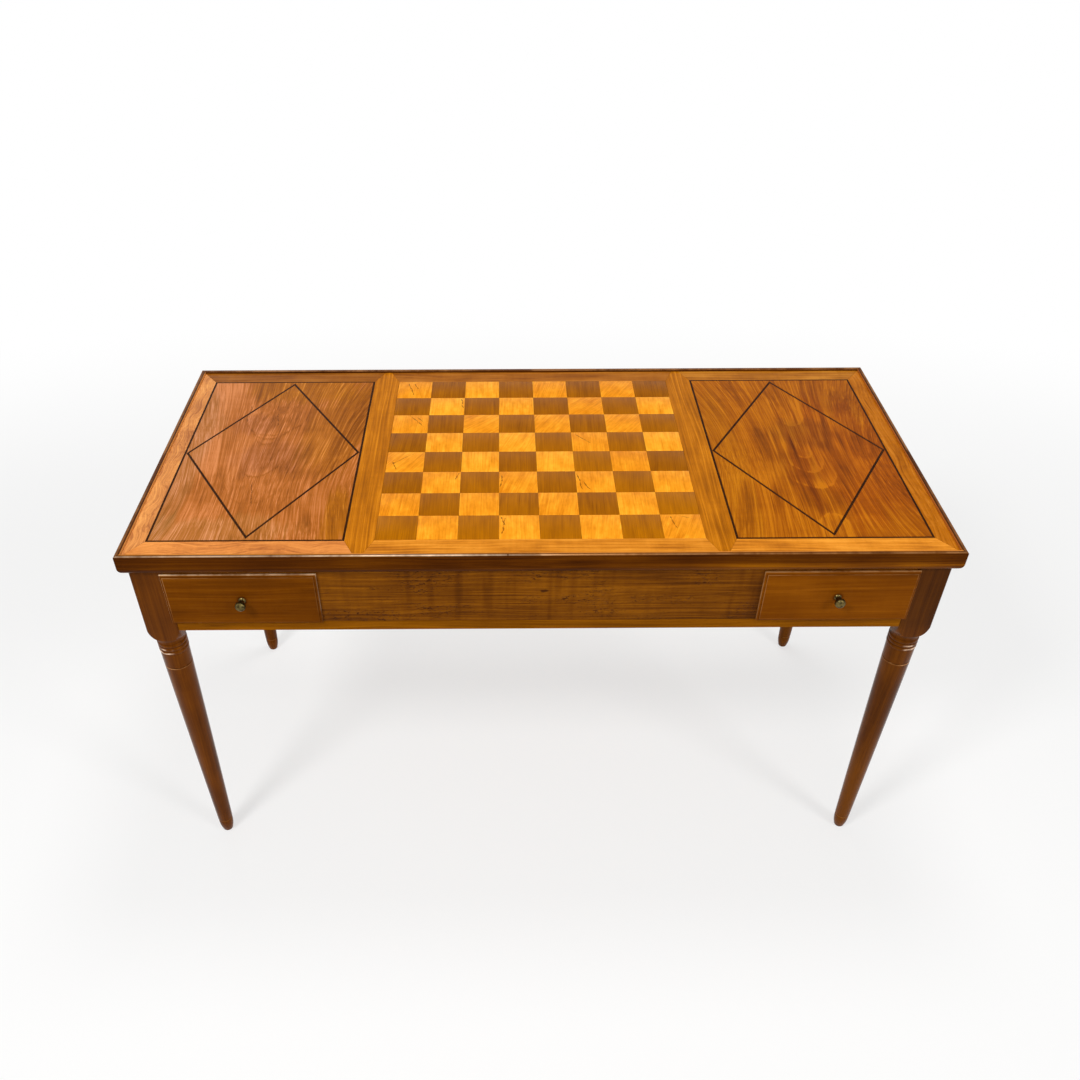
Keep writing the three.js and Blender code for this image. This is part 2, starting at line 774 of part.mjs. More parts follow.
// Drawer front: a block in the opening with pins at its ends, a rounded lip over its sides and top,
// a raised field, a groove for the bottom and a bore for the knob.
function makeDrawerFront({ word, x }) {
  const lapY = frontBackY + lapDepth;
  const lap = drawerSide + seam;
  const blockOutline = [
    [x * boxInner, -friezeY - lipPlate],
    [x * boxOuter, -friezeY - lipPlate],
    [x * boxOuter, -lapY],
    [x * (boxOuter - lap), -lapY],
    [x * (boxOuter - lap), -frontBackY],
    [x * (boxInner + lap), -frontBackY],
    [x * (boxInner + lap), -lapY],
    [x * boxInner, -lapY],
  ];
  const block = raise(toShape(blockOutline), boxLow, boxHigh);
  const pins = [
    ...frontPins([x * boxInner, x * (boxInner + lap + seam)], 0),
    ...frontPins([x * (boxOuter - lap - seam), x * boxOuter], 0),
  ];
  const lipInner = openingInner - drawerLip;
  const lipOuter = blockX + drawerLip;
  const lip = rectangle(x * lipInner, x * lipOuter, boxLow, drawerFaceTop);
  const round = {
    depth: lipPlate,
    bevelThickness: edgeRound,
    bevelSize: edgeRound,
    bevelOffset: -edgeRound,
    bevelSegments: curveSteps,
  };
  // Both faces of the rounded plate are moulded, and the back half is cut off flat.
  const backY = -friezeY - seam;
  const plate = new THREE.ExtrudeGeometry(toShape(lip), round);
  plate.rotateX(Math.PI / 2).translate(0, backY, 0);
  const behind = boxBetween([-tableWidth, tableWidth], [backY, 0], [0, tableHeight]);
  const raised = insetOutline(lip, edgeRound + fieldInset);
  const faceY = -drawerFaceY;
  const field = carryAlongY(toShape(raised), faceY, backY - lipPlate);
  const spigotHole = knobPin(spigotRadius + seam, frontThickness * 2 + edgeRound * 2);
  const place = [(x * (boxInner + boxOuter)) / 2, -friezeY, (boxLow + drawerFaceTop) / 2];
  spigotHole.translate(...place);
  const grooveX = [x * (boxInner + drawerSide), x * (boxOuter - drawerSide)];
  const grooveY = [-frontBackY - drawerGroove, -frontBackY + drawerGroove];
  const groove = boxBetween(grooveX, grooveY, [bottomLow - seam, bottomTop + seam]);
  const lipped = cut(plate, [behind]);
  const whole = join([block, ...pins, lipped, field]);
  addPiece(`drawer_${word}_front`, cut(whole, [spigotHole, groove]), "frieze");
}

// A round pin along Y, centred on the origin.
function knobPin(radius, length) {
  return new THREE.CylinderGeometry(radius, radius, length, knobSegments / 2);
}

// Sides of a drawer box, dovetailed at both ends and grooved for the bottom.
function makeDrawerSides({ word, x }) {
  const frontEnd = -(frontBackY + lapDepth) + seam;
  const walls = [
    { place: "inner", outerX: boxInner, inward: 1 },
    { place: "outer", outerX: boxOuter, inward: -1 },
  ];
  for (const { place, outerX, inward } of walls) {
    const innerX = outerX + inward * drawerSide;
    const grooveX = innerX - inward * drawerGroove;
    const grooveLow = bottomLow - seam;
    const grooveHigh = bottomTop + seam;
    const outline = [
      [x * outerX, boxLow],
      [x * innerX, boxLow],
      [x * innerX, grooveLow],
      [x * grooveX, grooveLow],
      [x * grooveX, grooveHigh],
      [x * innerX, grooveHigh],
      [x * innerX, boxHigh],
      [x * outerX, boxHigh],
    ];
    const wall = carryAlongY(toShape(outline), frontEnd, -boxBackY);
    const across = [x * (outerX - inward * drawerSide), x * (innerX + inward * drawerSide)];
    const slots = [...frontPins(across, seam), ...backPins(across, seam)];
    addPiece(`drawer_${word}_side_${place}`, cut(wall, slots), "secondary");
  }
}

// Bottom of a drawer, which slides in its grooves under the back, and the back with its pins.
function makeDrawerBoards({ word, x }) {
  const inner = boxInner + drawerSide;
  const outer = boxOuter - drawerSide;
  const slack = drawerGroove - seam;
  const bottomOutline = [
    [x * (inner + seam), -frontBackY - slack],
    [x * (outer - seam), -frontBackY - slack],
    [x * (outer - seam), -frontBackY + seam],
    [x * (outer + slack), -frontBackY + seam],
    [x * (outer + slack), -boxBackY],
    [x * (inner - slack), -boxBackY],
    [x * (inner - slack), -frontBackY + seam],
    [x * (inner + seam), -frontBackY + seam],
  ];
  addPiece(`drawer_${word}_bottom`, raise(toShape(bottomOutline), bottomLow, bottomTop), "secondary");
  const backX = [x * (inner + seam), x * (outer - seam)];
  const board = boxBetween(backX, [-boxBackY - drawerSide, -boxBackY], [backLow, backHigh]);
  const pins = [
    ...backPins([x * boxInner, x * (inner + 2 * seam)], 0),
    ...backPins([x * (outer - 2 * seam), x * boxOuter], 0),
  ];
  addPiece(`drawer_${word}_back`, join([board, ...pins]), "secondary");
}

// Knob: a flared foot on the drawer front, a waist, a mushroom head, and a spigot in its bore.
function makeKnob({ word, x }) {
  const headLow = knobReach - knobCrown * 2;
  const profile = new THREE.Path();
  profile.moveTo(0, -spigotLength);
  profile.lineTo(spigotRadius, -spigotLength);
  profile.lineTo(spigotRadius, seam);
  profile.lineTo(knobBase, seam);
  profile.quadraticCurveTo(knobStem, seam + knobStem / 2, knobStem, headLow / 2);
  profile.quadraticCurveTo(knobStem, headLow, knobRadius - lipPlate, headLow + seam);
  profile.quadraticCurveTo(knobRadius, headLow + seam, knobRadius, knobReach - knobCrown);
  profile.quadraticCurveTo(knobRadius, knobReach, 0, knobReach);
  const geometry = new THREE.LatheGeometry(profile.getPoints(curveSteps), knobSegments);
  const place = [(x * (boxInner + boxOuter)) / 2, -drawerFaceY, (boxLow + drawerFaceTop) / 2];
  addPiece(`drawer_${word}_knob`, geometry.rotateX(Math.PI).translate(...place), "brass");
}

makeCore();
makeMouldings();
makeBands();
sides.forEach(makeField);
makeChessboard();
makeFrontFrieze();
makeBackFrieze();
sides.forEach(makeEndFrieze);
makeLegs();
sides.forEach(makeWellFloor);
fronts.forEach(makeWellBand);
makeBar();
sides.forEach(makeEndWall);
sides.forEach(makeEndCover);
sides.forEach(makeRunners);
sides.forEach(makeDrawerFront);
sides.forEach(makeDrawerSides);
sides.forEach(makeDrawerBoards);
sides.forEach(makeKnob);

export default root;
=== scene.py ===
"""A tric trac table: finishes, fine surfaces, light and camera around its solids. Metres, +Z up."""

import math
import random
from types import SimpleNamespace

import bpy
from mathutils import Euler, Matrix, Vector


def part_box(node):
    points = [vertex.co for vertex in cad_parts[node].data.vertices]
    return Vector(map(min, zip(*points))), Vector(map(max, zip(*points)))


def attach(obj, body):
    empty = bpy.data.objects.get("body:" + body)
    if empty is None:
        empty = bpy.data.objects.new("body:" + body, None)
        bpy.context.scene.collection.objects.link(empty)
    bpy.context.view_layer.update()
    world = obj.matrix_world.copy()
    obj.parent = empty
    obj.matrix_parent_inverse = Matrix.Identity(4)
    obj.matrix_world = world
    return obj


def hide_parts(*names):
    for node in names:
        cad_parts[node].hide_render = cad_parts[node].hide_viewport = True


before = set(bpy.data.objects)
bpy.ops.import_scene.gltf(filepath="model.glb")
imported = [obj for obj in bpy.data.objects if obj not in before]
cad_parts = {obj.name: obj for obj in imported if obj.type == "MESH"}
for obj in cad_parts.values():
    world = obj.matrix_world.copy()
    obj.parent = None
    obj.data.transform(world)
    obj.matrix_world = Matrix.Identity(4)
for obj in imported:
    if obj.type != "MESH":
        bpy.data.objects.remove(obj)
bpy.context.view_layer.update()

SIDES = {"left": -1, "right": 1}
FRONTS = {"front": -1, "back": 1}
MM = 0.001


def mm(*sizes):
    """Sizes given in millimetres."""
    return tuple(size * MM for size in sizes)


def named_mm(**sizes):
    """Sizes by name, given in millimetres."""
    return SimpleNamespace(**{name: size * MM for name, size in sizes.items()})


# Node helpers


def through(operation, swapped=False):
    """A method that sends a value, and perhaps a second one, through a math node."""

    def made(self, other=0.0):
        pair = (other, self) if swapped else (self, other)
        return self.graph.math(operation, *pair)

    return made


class Value:
    """An output of a node. Arithmetic and comparisons with it add more nodes."""

    def __init__(self, graph, socket):
        self.graph = graph
        self.socket = socket

    __add__, __radd__ = through("ADD"), through("ADD", True)
    __sub__, __rsub__ = through("SUBTRACT"), through("SUBTRACT", True)
    __mul__, __rmul__ = through("MULTIPLY"), through("MULTIPLY", True)
    __lt__, __gt__ = through("LESS_THAN"), through("GREATER_THAN")
    __abs__ = through("ABSOLUTE")

    def __truediv__(self, other):
        if isinstance(other, Value):
            return self.graph.math("DIVIDE", self, other)
        return self * (1 / other)


# Inputs of a surface that are the same all over it.
FIXED = {
    "gloss": "Specular IOR Level",
    "tint": "Specular Tint",
    "metallic": "Metallic",
    "sheen": "Sheen Weight",
}


class Graph:
    """The nodes of a material or world, with short calls for the ones that are used most."""

    def __init__(self, name, kind="materials", coordinates="Object"):
        self.owner = getattr(bpy.data, kind).new(name)
        self.owner.use_nodes = True
        self.tree = self.owner.node_tree
        self.tree.nodes.clear()
        self.place = self.call("TexCoord", {}, coordinates)
        self.x, self.y, self.z = self.split(self.place)

    def node(self, kind, **settings):
        made = self.tree.nodes.new(f"ShaderNode{kind}")
        for key, value in settings.items():
            setattr(made, key, value)
        return made

    def feed(self, socket, value):
        """Links an output to a socket, or sets a plain value on it."""
        if isinstance(value, Value):
            value = value.socket
        if isinstance(value, bpy.types.NodeSocket):
            self.tree.links.new(value, socket)
        else:
            socket.default_value = (*value, 1) if socket.type == "RGBA" else value

    def call(self, kind, inputs, output=0, **settings):
        """Adds a node, feeds its inputs by name or number, and gives one of its outputs."""
        made = self.node(kind, **settings)
        for key, value in inputs.items():
            self.feed(made.inputs[key], value)
        return Value(self, made.outputs[output])

    def split(self, vector):
        """The three parts of a vector or colour."""
        parts = self.node("SeparateXYZ")
        self.feed(parts.inputs[0], vector)
        return [Value(self, part) for part in parts.outputs]

    def math(self, operation, a, b=0.0):
        return self.call("Math", {0: a, 1: b}, operation=operation)

    def length(self, a, b):
        """Square root of the sum of two squares."""
        return self.math("SQRT", a * a + b * b)

    def vector(self, x, y, z):
        return self.call("CombineXYZ", {0: x, 1: y, 2: z})

    def scaled(self, vector, scales):
        return self.call("VectorMath", {0: vector, 1: scales}, operation="MULTIPLY")

    def noise(self, vector, detail=2.0, roughness=0.5):
        inputs = {"Vector": vector, "Scale": 1.0, "Detail": detail, "Roughness": roughness}
        return self.call("TexNoise", inputs)

    def line_noise(self, value, detail=2.0, roughness=0.5):
        """Noise along one value."""
        inputs = {"W": value, "Scale": 1.0, "Detail": detail, "Roughness": roughness}
        return self.call("TexNoise", inputs, noise_dimensions="1D")

    def spread(self, value, low, high, to_low=0.0, to_high=1.0):
        """A soft step from one value to another, between two inputs."""
        inputs = {0: value, 1: low, 2: high, 3: to_low, 4: to_high}
        return self.call("MapRange", inputs, interpolation_type="SMOOTHSTEP")

    def fade(self, value, low, high, share=1.0):
        """A soft step from a share to nothing."""
        return self.spread(value, low, high, share, 0.0)

    def mix(self, factor, a, b, blend="MIX"):
        inputs = {0: factor, 6: a, 7: b}
        return self.call("Mix", inputs, 2, data_type="RGBA", blend_type=blend)

    def ramp(self, value, stops):
        """Colours at places from 0 to 1."""
        made = self.node("ValToRGB")
        self.feed(made.inputs[0], value)
        elements = made.color_ramp.elements
        elements[0].position, elements[0].color = stops[0][0], (*stops[0][1], 1)
        elements[1].position, elements[1].color = stops[-1][0], (*stops[-1][1], 1)
        for position, colour in stops[1:-1]:
            elements.new(position).color = (*colour, 1)
        return Value(self, made.outputs[0])

    def seen(self):
        """Whether a place is seen by the camera, straight or by way of a mirror or glass."""
        path = self.node("LightPath")
        either = path.outputs["Is Camera Ray"]
        for ray in ("Is Glossy Ray", "Is Transmission Ray"):
            either = self.math("MAXIMUM", either, path.outputs[ray])
        return either

    def surface(self, colour, roughness, height=None, relief=0.1 * MM, strength=0.4, **fixed):
        """Ends the material. `fixed` are values that are the same all over the surface."""
        shader = self.node("BsdfPrincipled")
        self.feed(shader.inputs["Base Color"], colour)
        self.feed(shader.inputs["Roughness"], roughness)
        for key, value in fixed.items():
            self.feed(shader.inputs[FIXED[key]], value)
        if height is not None:
            inputs = {"Strength": strength, "Distance": relief, "Height": height}
            self.feed(shader.inputs["Normal"], self.call("Bump", inputs))
        output = self.node("OutputMaterial")
        self.feed(output.inputs[0], shader.outputs[0])
        return self.owner


# Wood

# Width across the grain and length along it, of each kind of mark.
MARKS = {
    "fibre": mm(1.1, 70),
    "streak": mm(5, 320),
    "vein": mm(2.2, 150),
    "blotch": mm(80, 170),
    "curl": mm(60, 10),
    "pore": mm(0.7, 8),
}
WEIGHTS = {"line": 0.7, "streak": 0.6, "vein": 0.35, "fibre": 0.4, "blotch": 0.6, "curl": 0.12}
STRAIGHT = mm(7, 70, 380)
DEPTH_SHARE = 0.6
GLOSS = 0.025
AMBER = (1.0, 0.5, 0.2)


class Wood(Graph):
    """Polished wood, whose grain runs along one axis. A seed moves the figure, so pieces differ.

    `sway` is how far the grain wanders sideways, and the width and length of one wander.
    `fan` is a centre line and how the grain opens along it: its middle, a rate, and a bend
    that opens it towards both ends.
    """

    def __init__(self, name, axis, seed, sway=STRAIGHT, fan=None, marks=None):
        super().__init__(name)
        self.marks = MARKS | (marks or {})
        draw = random.Random(seed)
        self.shift = [draw.uniform(0, 40) for _ in range(3)]
        frame_of = {
            "X": (self.y, self.x, self.z),
            "Y": (self.x, self.y, self.z),
            "Z": (self.x, self.z, self.y),
        }
        across, self.along, depth = frame_of[axis]
        reach, width, length = sway
        place = self.grid(across, self.along, depth, (width, length))
        inputs = {"Vector": place, "Scale": 1.0, "Detail": 1.0}
        sideways, upwards, _ = self.split(self.call("TexNoise", inputs, "Color"))
        self.flow = across + (sideways - 0.5) * (2 * reach)
        self.rise = depth + (upwards - 0.5) * (2 * reach)
        if fan:
            centre, middle, rate, bend = fan
            far = self.along - middle
            opening = 1.0 + far * (rate + far * bend)
            self.flow = (self.flow - centre) / opening

    def grid(self, across, along, depth, size):
        """Position counted in cells of a real width and length."""
        width, length = size
        return self.vector(
            across / width + self.shift[0],
            along / length + self.shift[1],
            depth / width + self.shift[2],
        )

    def cells(self, key, detail=2.0, roughness=0.6):
        """Noise that follows the grain."""
        place = self.grid(self.flow, self.along, self.rise, self.marks[key])
        return self.noise(place, detail, roughness)

    def front_noise(self, fine_x, cut, fine_z, detail, roughness=0.5):
        """Noise over an upright face, so many marks to the metre sideways and upwards."""
        return self.noise(self.vector(self.x * fine_x, cut, self.z * fine_z), detail, roughness)

    def lines(self, gap):
        """Growth lines, which follow the grain from end to end."""
        across = self.flow + self.rise * DEPTH_SHARE
        return self.line_noise(across / gap + self.shift[2], 3.0, 0.65)

    def tone(self, gap, changes=None):
        """One value from dark to light, around 0.5."""
        weights = WEIGHTS | (changes or {})
        parts = {key: self.cells(key) for key in ("streak", "vein", "fibre", "blotch", "curl")}
        parts["line"] = self.lines(gap)
        total = 0.5
        for key, part in parts.items():
            total = total + (part - 0.5) * weights[key]
        return total

    def darken(self, colour, amount, shade=(0.35, 0.25, 0.2)):
        """Multiplies a colour by a shade, as far as the amount says, from 0 to 1."""
        return self.mix(amount, colour, self.mix(1.0, colour, shade, "MULTIPLY"))

    def coat(self, tone, stops, pores):
        """The colours of a palette, with open pores."""
        return self.darken(self.ramp(tone, stops), self.pores(pores))

    def pores(self, amount):
        """Short dark dashes of open pores."""
        return self.spread(self.cells("pore", 1.0), 0.6, 0.74) * amount

    def polish(self, colour, tone, roughness, relief=0.06 * MM, strength=0.3, **fixed):
        """French polish: smudges vary its gloss, and the grain shows through it a little."""
        smudge = self.noise(self.scaled(self.place, (11, 11, 11)), 3.0, 0.6)
        rough = roughness + (smudge - 0.5) * 0.14
        height = tone * 0.4 + self.cells("fibre", 1.0)
        fixed = {"gloss": GLOSS, "tint": AMBER} | fixed
        return self.surface(colour, rough, height, relief, strength, **fixed)


def tinted(stops, factor, green=1.0, blue=1.0):
    """The same grain, darker or lighter, and with more or less green and blue."""
    return [(place, (r * factor, g * factor * green, b * factor * blue)) for place, (r, g, b) in stops]


def plain_wood(name, axis, seed, stops, roughness=0.28, pores=0.3, gap=6 * MM, weights=None,
               sway=STRAIGHT, marks=None, **fixed):
    """A board or veneer of one colour family. Stops go from its dark grain to its light grain."""
    wood = Wood(name, axis, seed, sway, None, marks)
    tone = wood.tone(gap, weights)
    colour = wood.coat(tone, stops, pores)
    return wood.polish(colour, tone, roughness, **fixed)


def grain(end, dark, middle, light):
    """Stops of a palette, whose darkest and lightest grain lie so far from the ends of the tone."""
    return [(end, dark), (0.5, middle), (1 - end, light)]


CHERRY_BAND = grain(0.25, (0.36, 0.105, 0.006), (0.62, 0.21, 0.014), (0.8, 0.31, 0.032))
CHERRY_STILE = grain(0.25, (0.28, 0.08, 0.001), (0.43, 0.13, 0.002), (0.6, 0.2, 0.006))
CHERRY_FIELD = grain(0.2, (0.2, 0.048, 0.001), (0.4, 0.106, 0.005), (0.62, 0.2, 0.022))
MOULDING_RED = grain(0.25, (0.042, 0.009, 0.001), (0.084, 0.02, 0.001), (0.135, 0.036, 0.001))
FRIEZE_BROWN = grain(0.25, (0.085, 0.023, 0.001), (0.155, 0.045, 0.001), (0.25, 0.08, 0.002))
RAIL_BROWN = grain(0.25, (0.13, 0.038, 0.001), (0.205, 0.064, 0.001), (0.29, 0.095, 0.002))
DRAWER_BROWN = grain(0.2, (0.1, 0.025, 0.001), (0.16, 0.042, 0.001), (0.23, 0.066, 0.002))
LEG_BROWN = grain(0.25, (0.06, 0.014, 0.001), (0.11, 0.028, 0.001), (0.17, 0.048, 0.002))
LINING_BROWN = grain(0.2, (0.1, 0.03, 0.003), (0.17, 0.055, 0.006), (0.26, 0.09, 0.012))
FLOOR_BROWN = grain(0.2, (0.22, 0.075, 0.01), (0.33, 0.12, 0.018), (0.44, 0.18, 0.032))
BARE_WOOD = grain(0.2, (0.3, 0.17, 0.075), (0.44, 0.27, 0.125), (0.56, 0.38, 0.2))
CORE_WOOD = grain(0.2, (0.2, 0.11, 0.045), (0.31, 0.18, 0.08), (0.42, 0.27, 0.13))
STRING_DARK = grain(0.2, (0.014, 0.004, 0.001), (0.028, 0.008, 0.001), (0.055, 0.017, 0.002))
POINT_LIGHT = grain(0.2, (0.52, 0.35, 0.16), (0.66, 0.48, 0.25), (0.76, 0.6, 0.36))
POINT_DARK = grain(0.2, (0.012, 0.035, 0.014), (0.025, 0.06, 0.024), (0.045, 0.095, 0.04))

CRACK = (0.09, 0.025, 0.003)
SQUARE_CRACK = (0.19, 0.055, 0.002)
CRAZED = (0.022, 0.005, 0.001)
KNOT_DARK = (0.03, 0.007, 0.001)
# Lighter colours where hands and cloths have rubbed the polish through. Some are also painted
# highlights: the front lip's crest, the legs' rings and lines, and the drawers' edges and raised
# fields.
WEAR_AND_HIGHLIGHT = {
    "lip": (0.26, 0.11, 0.035),
    "lip_slope": (0.56, 0.2, 0.03),
    "crest_highlight_left": (0.86, 0.6, 0.38),
    "crest_highlight_right": (0.75, 0.36, 0.13),
    "rings": (0.85, 0.6, 0.42),
    "leg_line_glint": (0.5, 0.24, 0.09),
    "raised_field_highlight": (0.42, 0.2, 0.07),
    "drawer_left": (0.78, 0.52, 0.3),
    "drawer_right": (0.42, 0.21, 0.08),
}
# How far sharp edges are rounded, on a veneer and on a board.
VENEER_EASE = 0.1 * MM
BOARD_EASE = 0.4 * MM
# Where an eased edge has its middle row, as a share of the ease.
EASE_BEND = 0.3
WELD_REACH = 0.001 * MM
EASED_ANGLE = 40
SHARP_ANGLE = 35


# Meshes


def lofted(rows):
    """Vertices and faces of a closed skin over rows of equal length, each row a closed loop."""
    count = len(rows[0])
    vertices = [point for row in rows for point in row]
    faces = []
    for r in range(len(rows) - 1):
        for c in range(count):
            n = (c + 1) % count
            low, high = r * count, (r + 1) * count
            faces.append((low + c, low + n, high + n, high + c))
    faces.append(tuple(reversed(range(count))))
    faces.append(tuple(range(len(vertices) - count, len(vertices))))
    return vertices, faces


def merged(shells):
    """Several closed skins as one list of vertices and one of faces."""
    vertices, faces = [], []
    for points, skins in shells:
        start = len(vertices)
        vertices += points
        faces += [tuple(start + i for i in face) for face in skins]
    return vertices, faces


def placed(name, data):
    """A new object in the scene."""
    made = bpy.data.objects.new(name, data)
    bpy.context.scene.collection.objects.link(made)
    return made


def make_piece(name, shell, material, body, stands_for=(), sharp=SHARP_ANGLE):
    mesh = bpy.data.meshes.new(name)
    mesh.from_pydata(shell[0], [], shell[1])
    mesh.materials.append(material)
    mesh.shade_smooth()
    mesh.set_sharp_from_angle(angle=math.radians(sharp))
    piece = placed(name, mesh)
    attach(piece, body)
    if stands_for:
        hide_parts(*stands_for)
    return piece


def rectangle(x0, x1, y0, y1):
    return [(x0, y0), (x1, y0), (x1, y1), (x0, y1)]


def slab(x0, x1, y0, y1, z0, z1, ease=0.0):
    """A board, whose upper edges may be eased."""
    rows = [(0.0, z0), (0.0, z1)]
    if ease:
        bend = EASE_BEND * ease
        rows = [(0.0, z0), (0.0, z1 - ease), (bend, z1 - bend), (ease, z1)]
    return lofted(
        [[(x, y, z) for x, y in rectangle(x0 + i, x1 - i, y0 + i, y1 - i)] for i, z in rows]
    )


def arc(centre, reach, start, end, steps):
    """Points of a quarter or half ellipse, in degrees."""
    places = [math.radians(start + (end - start) * k / steps) for k in range(steps + 1)]
    return [(centre[0] + reach[0] * math.cos(a), centre[1] + reach[1] * math.sin(a)) for a in places]


def curve(start, control, end, steps):
    """Points of a quadratic curve, without its start."""
    points = []
    for k in range(1, steps + 1):
        t = k / steps
        shares = ((1 - t) ** 2, 2 * t * (1 - t), t * t)
        triples = zip(start, control, end)
        points.append(tuple(sum(s * p for s, p in zip(shares, triple)) for triple in triples))
    return points


def ease_edges(node, width):
    """Welds a CAD solid's faces and rounds its sharp edges a little, without changing its mesh."""
    weld = node.modifiers.new("weld", "WELD")
    weld.merge_threshold = WELD_REACH
    bevel = node.modifiers.new("ease", "BEVEL")
    bevel.width = width
    bevel.segments = 2
    bevel.limit_method = "ANGLE"
    bevel.angle_limit = math.radians(EASED_ANGLE)
    bevel.use_clamp_overlap = True


def dress(name, material, ease=0.0):
    """Gives a CAD node its finish."""
    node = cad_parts[name]
    node.data.materials.clear()
    node.data.materials.append(material)
    if ease:
        ease_edges(node, ease)


# Camera: the photograph's place, tilt and framing.

FRAME_PIXELS = 1080
FOCAL_PIXELS = 1002.7
CENTRE_PIXEL = (507.5, 625.8)
SENSOR = 36.0
CAMERA_PLACE = Vector((-0.0558, -1.4883, 1.6011))
CAMERA_TILT = (48.842, 0.123, -0.338)


def make_camera():
    data = bpy.data.cameras.new("camera")
    data.sensor_width = SENSOR
    data.lens = FOCAL_PIXELS / FRAME_PIXELS * SENSOR
    data.shift_x = 0.5 - CENTRE_PIXEL[0] / FRAME_PIXELS
    data.shift_y = CENTRE_PIXEL[1] / FRAME_PIXELS - 0.5
    camera = placed("camera", data)
    camera.location = CAMERA_PLACE
    camera.rotation_euler = Euler([math.radians(a) for a in CAMERA_TILT], "XYZ")
    bpy.context.scene.camera = camera


# Light: a pale low horizon, a dimmer sky above it, and soft lamps.

SKY = {"low": 0.9, "high": 0.25, "from": math.radians(12), "to": math.radians(32)}
LAMPS = {
    "key": {"place": (-1.6, -1.9, 3.0), "aim": (0, 0, 0.6), "size": 0.8, "power": 58},
    "fill": {"place": (2.2, -2.1, 2.5), "aim": (0, 0, 0.5), "size": 0.9, "power": 36},
    "top": {"place": (0.2, 0.6, 3.2), "aim": (0, 0, 0.6), "size": 1.0, "power": 28},
    "sheen": {"place": (-1.9, 4.1, 3.0), "aim": (-0.5, 0, 0.7), "size": 1.6, "power": 6},
}
FLOOR_SIZE = 40.0
FLOOR_COLOUR = (0.9, 0.9, 0.89)
SHADOW_REACH = (0.7, 2.2, 0.6, 1.0)


def make_world():
    """A pale sky that is brighter near the horizon. It is seen, and mirrored, as plain white."""
    graph = Graph("studio", "worlds", "Generated")
    bpy.context.scene.world = graph.owner
    low, high = math.sin(SKY["from"]), math.sin(SKY["to"])
    sky = graph.spread(graph.z, low, high, SKY["low"], SKY["high"])
    colour = graph.mix(graph.seen(), sky, (1, 1, 1))
    output = graph.node("OutputWorld")
    graph.feed(output.inputs[0], graph.call("Background", {"Color": colour}))


def make_lamps():
    for name, facts in LAMPS.items():
        data = bpy.data.lights.new(name, "AREA")
        data.shape = "DISK"
        data.size = facts["size"]
        data.energy = facts["power"]
        lamp = placed(name, data)
        lamp.location = facts["place"]
        away = Vector(facts["aim"]) - lamp.location
        lamp.rotation_euler = away.to_track_quat("-Z", "Y").to_euler()


def make_floor():
    """Pale floor that keeps the table's shadow, and turns plain white further away."""
    graph = Graph("floor")
    dust = graph.noise(graph.place, 3.0)
    colour = graph.mix(dust, FLOOR_COLOUR, [c * 0.99 for c in FLOOR_COLOUR])
    material = graph.surface(colour, 0.9, gloss=0.0)
    output = next(node for node in graph.tree.nodes if node.type == "OUTPUT_MATERIAL")
    matt = output.inputs[0].links[0].from_socket
    away = graph.length(graph.x * 0.6, graph.y)
    share = graph.spread(away, *SHADOW_REACH) * graph.seen()
    white = graph.call("Emission", {"Color": (1, 1, 1), "Strength": 1.0})
    graph.feed(output.inputs[0], graph.call("MixShader", {0: share, 1: matt, 2: white}))
    half = FLOOR_SIZE / 2
    mesh = bpy.data.meshes.new("floor")
    mesh.from_pydata([(x, y, 0) for x, y in rectangle(-half, half, -half, half)], [], [(0, 1, 2, 3)])
    mesh.materials.append(material)
    floor = placed("floor", mesh)


# The inlaid top


# How bright each band is, its share of green, and how much blue it gains, as a share of its red. The
# blue gained on the front left and left bands is a painted pinkish haze of reflected light.
BAND_TONES = {
    "front_left": (1.02, 1.0, 0.048),
    "front_centre": (0.99, 1.0, 0.0),
    "front_right": (1.06, 1.0, 0.0),
    "back_left": (0.48, 0.9, 0.0),
    "back_centre": (0.58, 0.92, 0.0),
    "back_right": (0.71, 1.0, 0.0),
    "left": (1.03, 1.12, 0.075),
    "right": (0.71, 0.86, -0.018),
}
BAND_MARKS = {"streak": mm(4, 240), "vein": mm(1.8, 120), "blotch": mm(40, 110)}
BAND_WEIGHTS = {"line": 0.5, "streak": 0.55, "vein": 0.3, "fibre": 0.3, "blotch": 0.8, "curl": 0.15}


def make_bands():
    for seed, (place, (tone, green, pink)) in enumerate(BAND_TONES.items()):
        axis = "Y" if place in SIDES else "X"
        # The blue gained paints a pale haze of reflected light on the front left and left bands.
        stops = [(spot, (r, g, b + pink * r)) for spot, (r, g, b) in tinted(CHERRY_BAND, tone, green)]
        sway = mm(9, 60, 260)
        if pink:
            sway = mm(26, 70, 90) if pink > 0 else mm(14, 60, 140)
        name = f"band_{place}"
        looks = {"weights": BAND_WEIGHTS, "sway": sway, "marks": BAND_MARKS}
        dress(name, plain_wood(name, axis, 10 + seed, stops, 0.24, **looks), VENEER_EASE)
    for seed, (side, tone) in enumerate({"left": 1.02, "right": 0.98}.items()):
        sway = mm(12, 50, 500)
        stops = tinted(CHERRY_STILE, tone)
        finish = plain_wood(f"stile_{side}", "Y", 40 + seed, stops, 0.24, sway=sway, marks=BAND_MARKS)
        dress(f"stile_{side}", finish, VENEER_EASE)


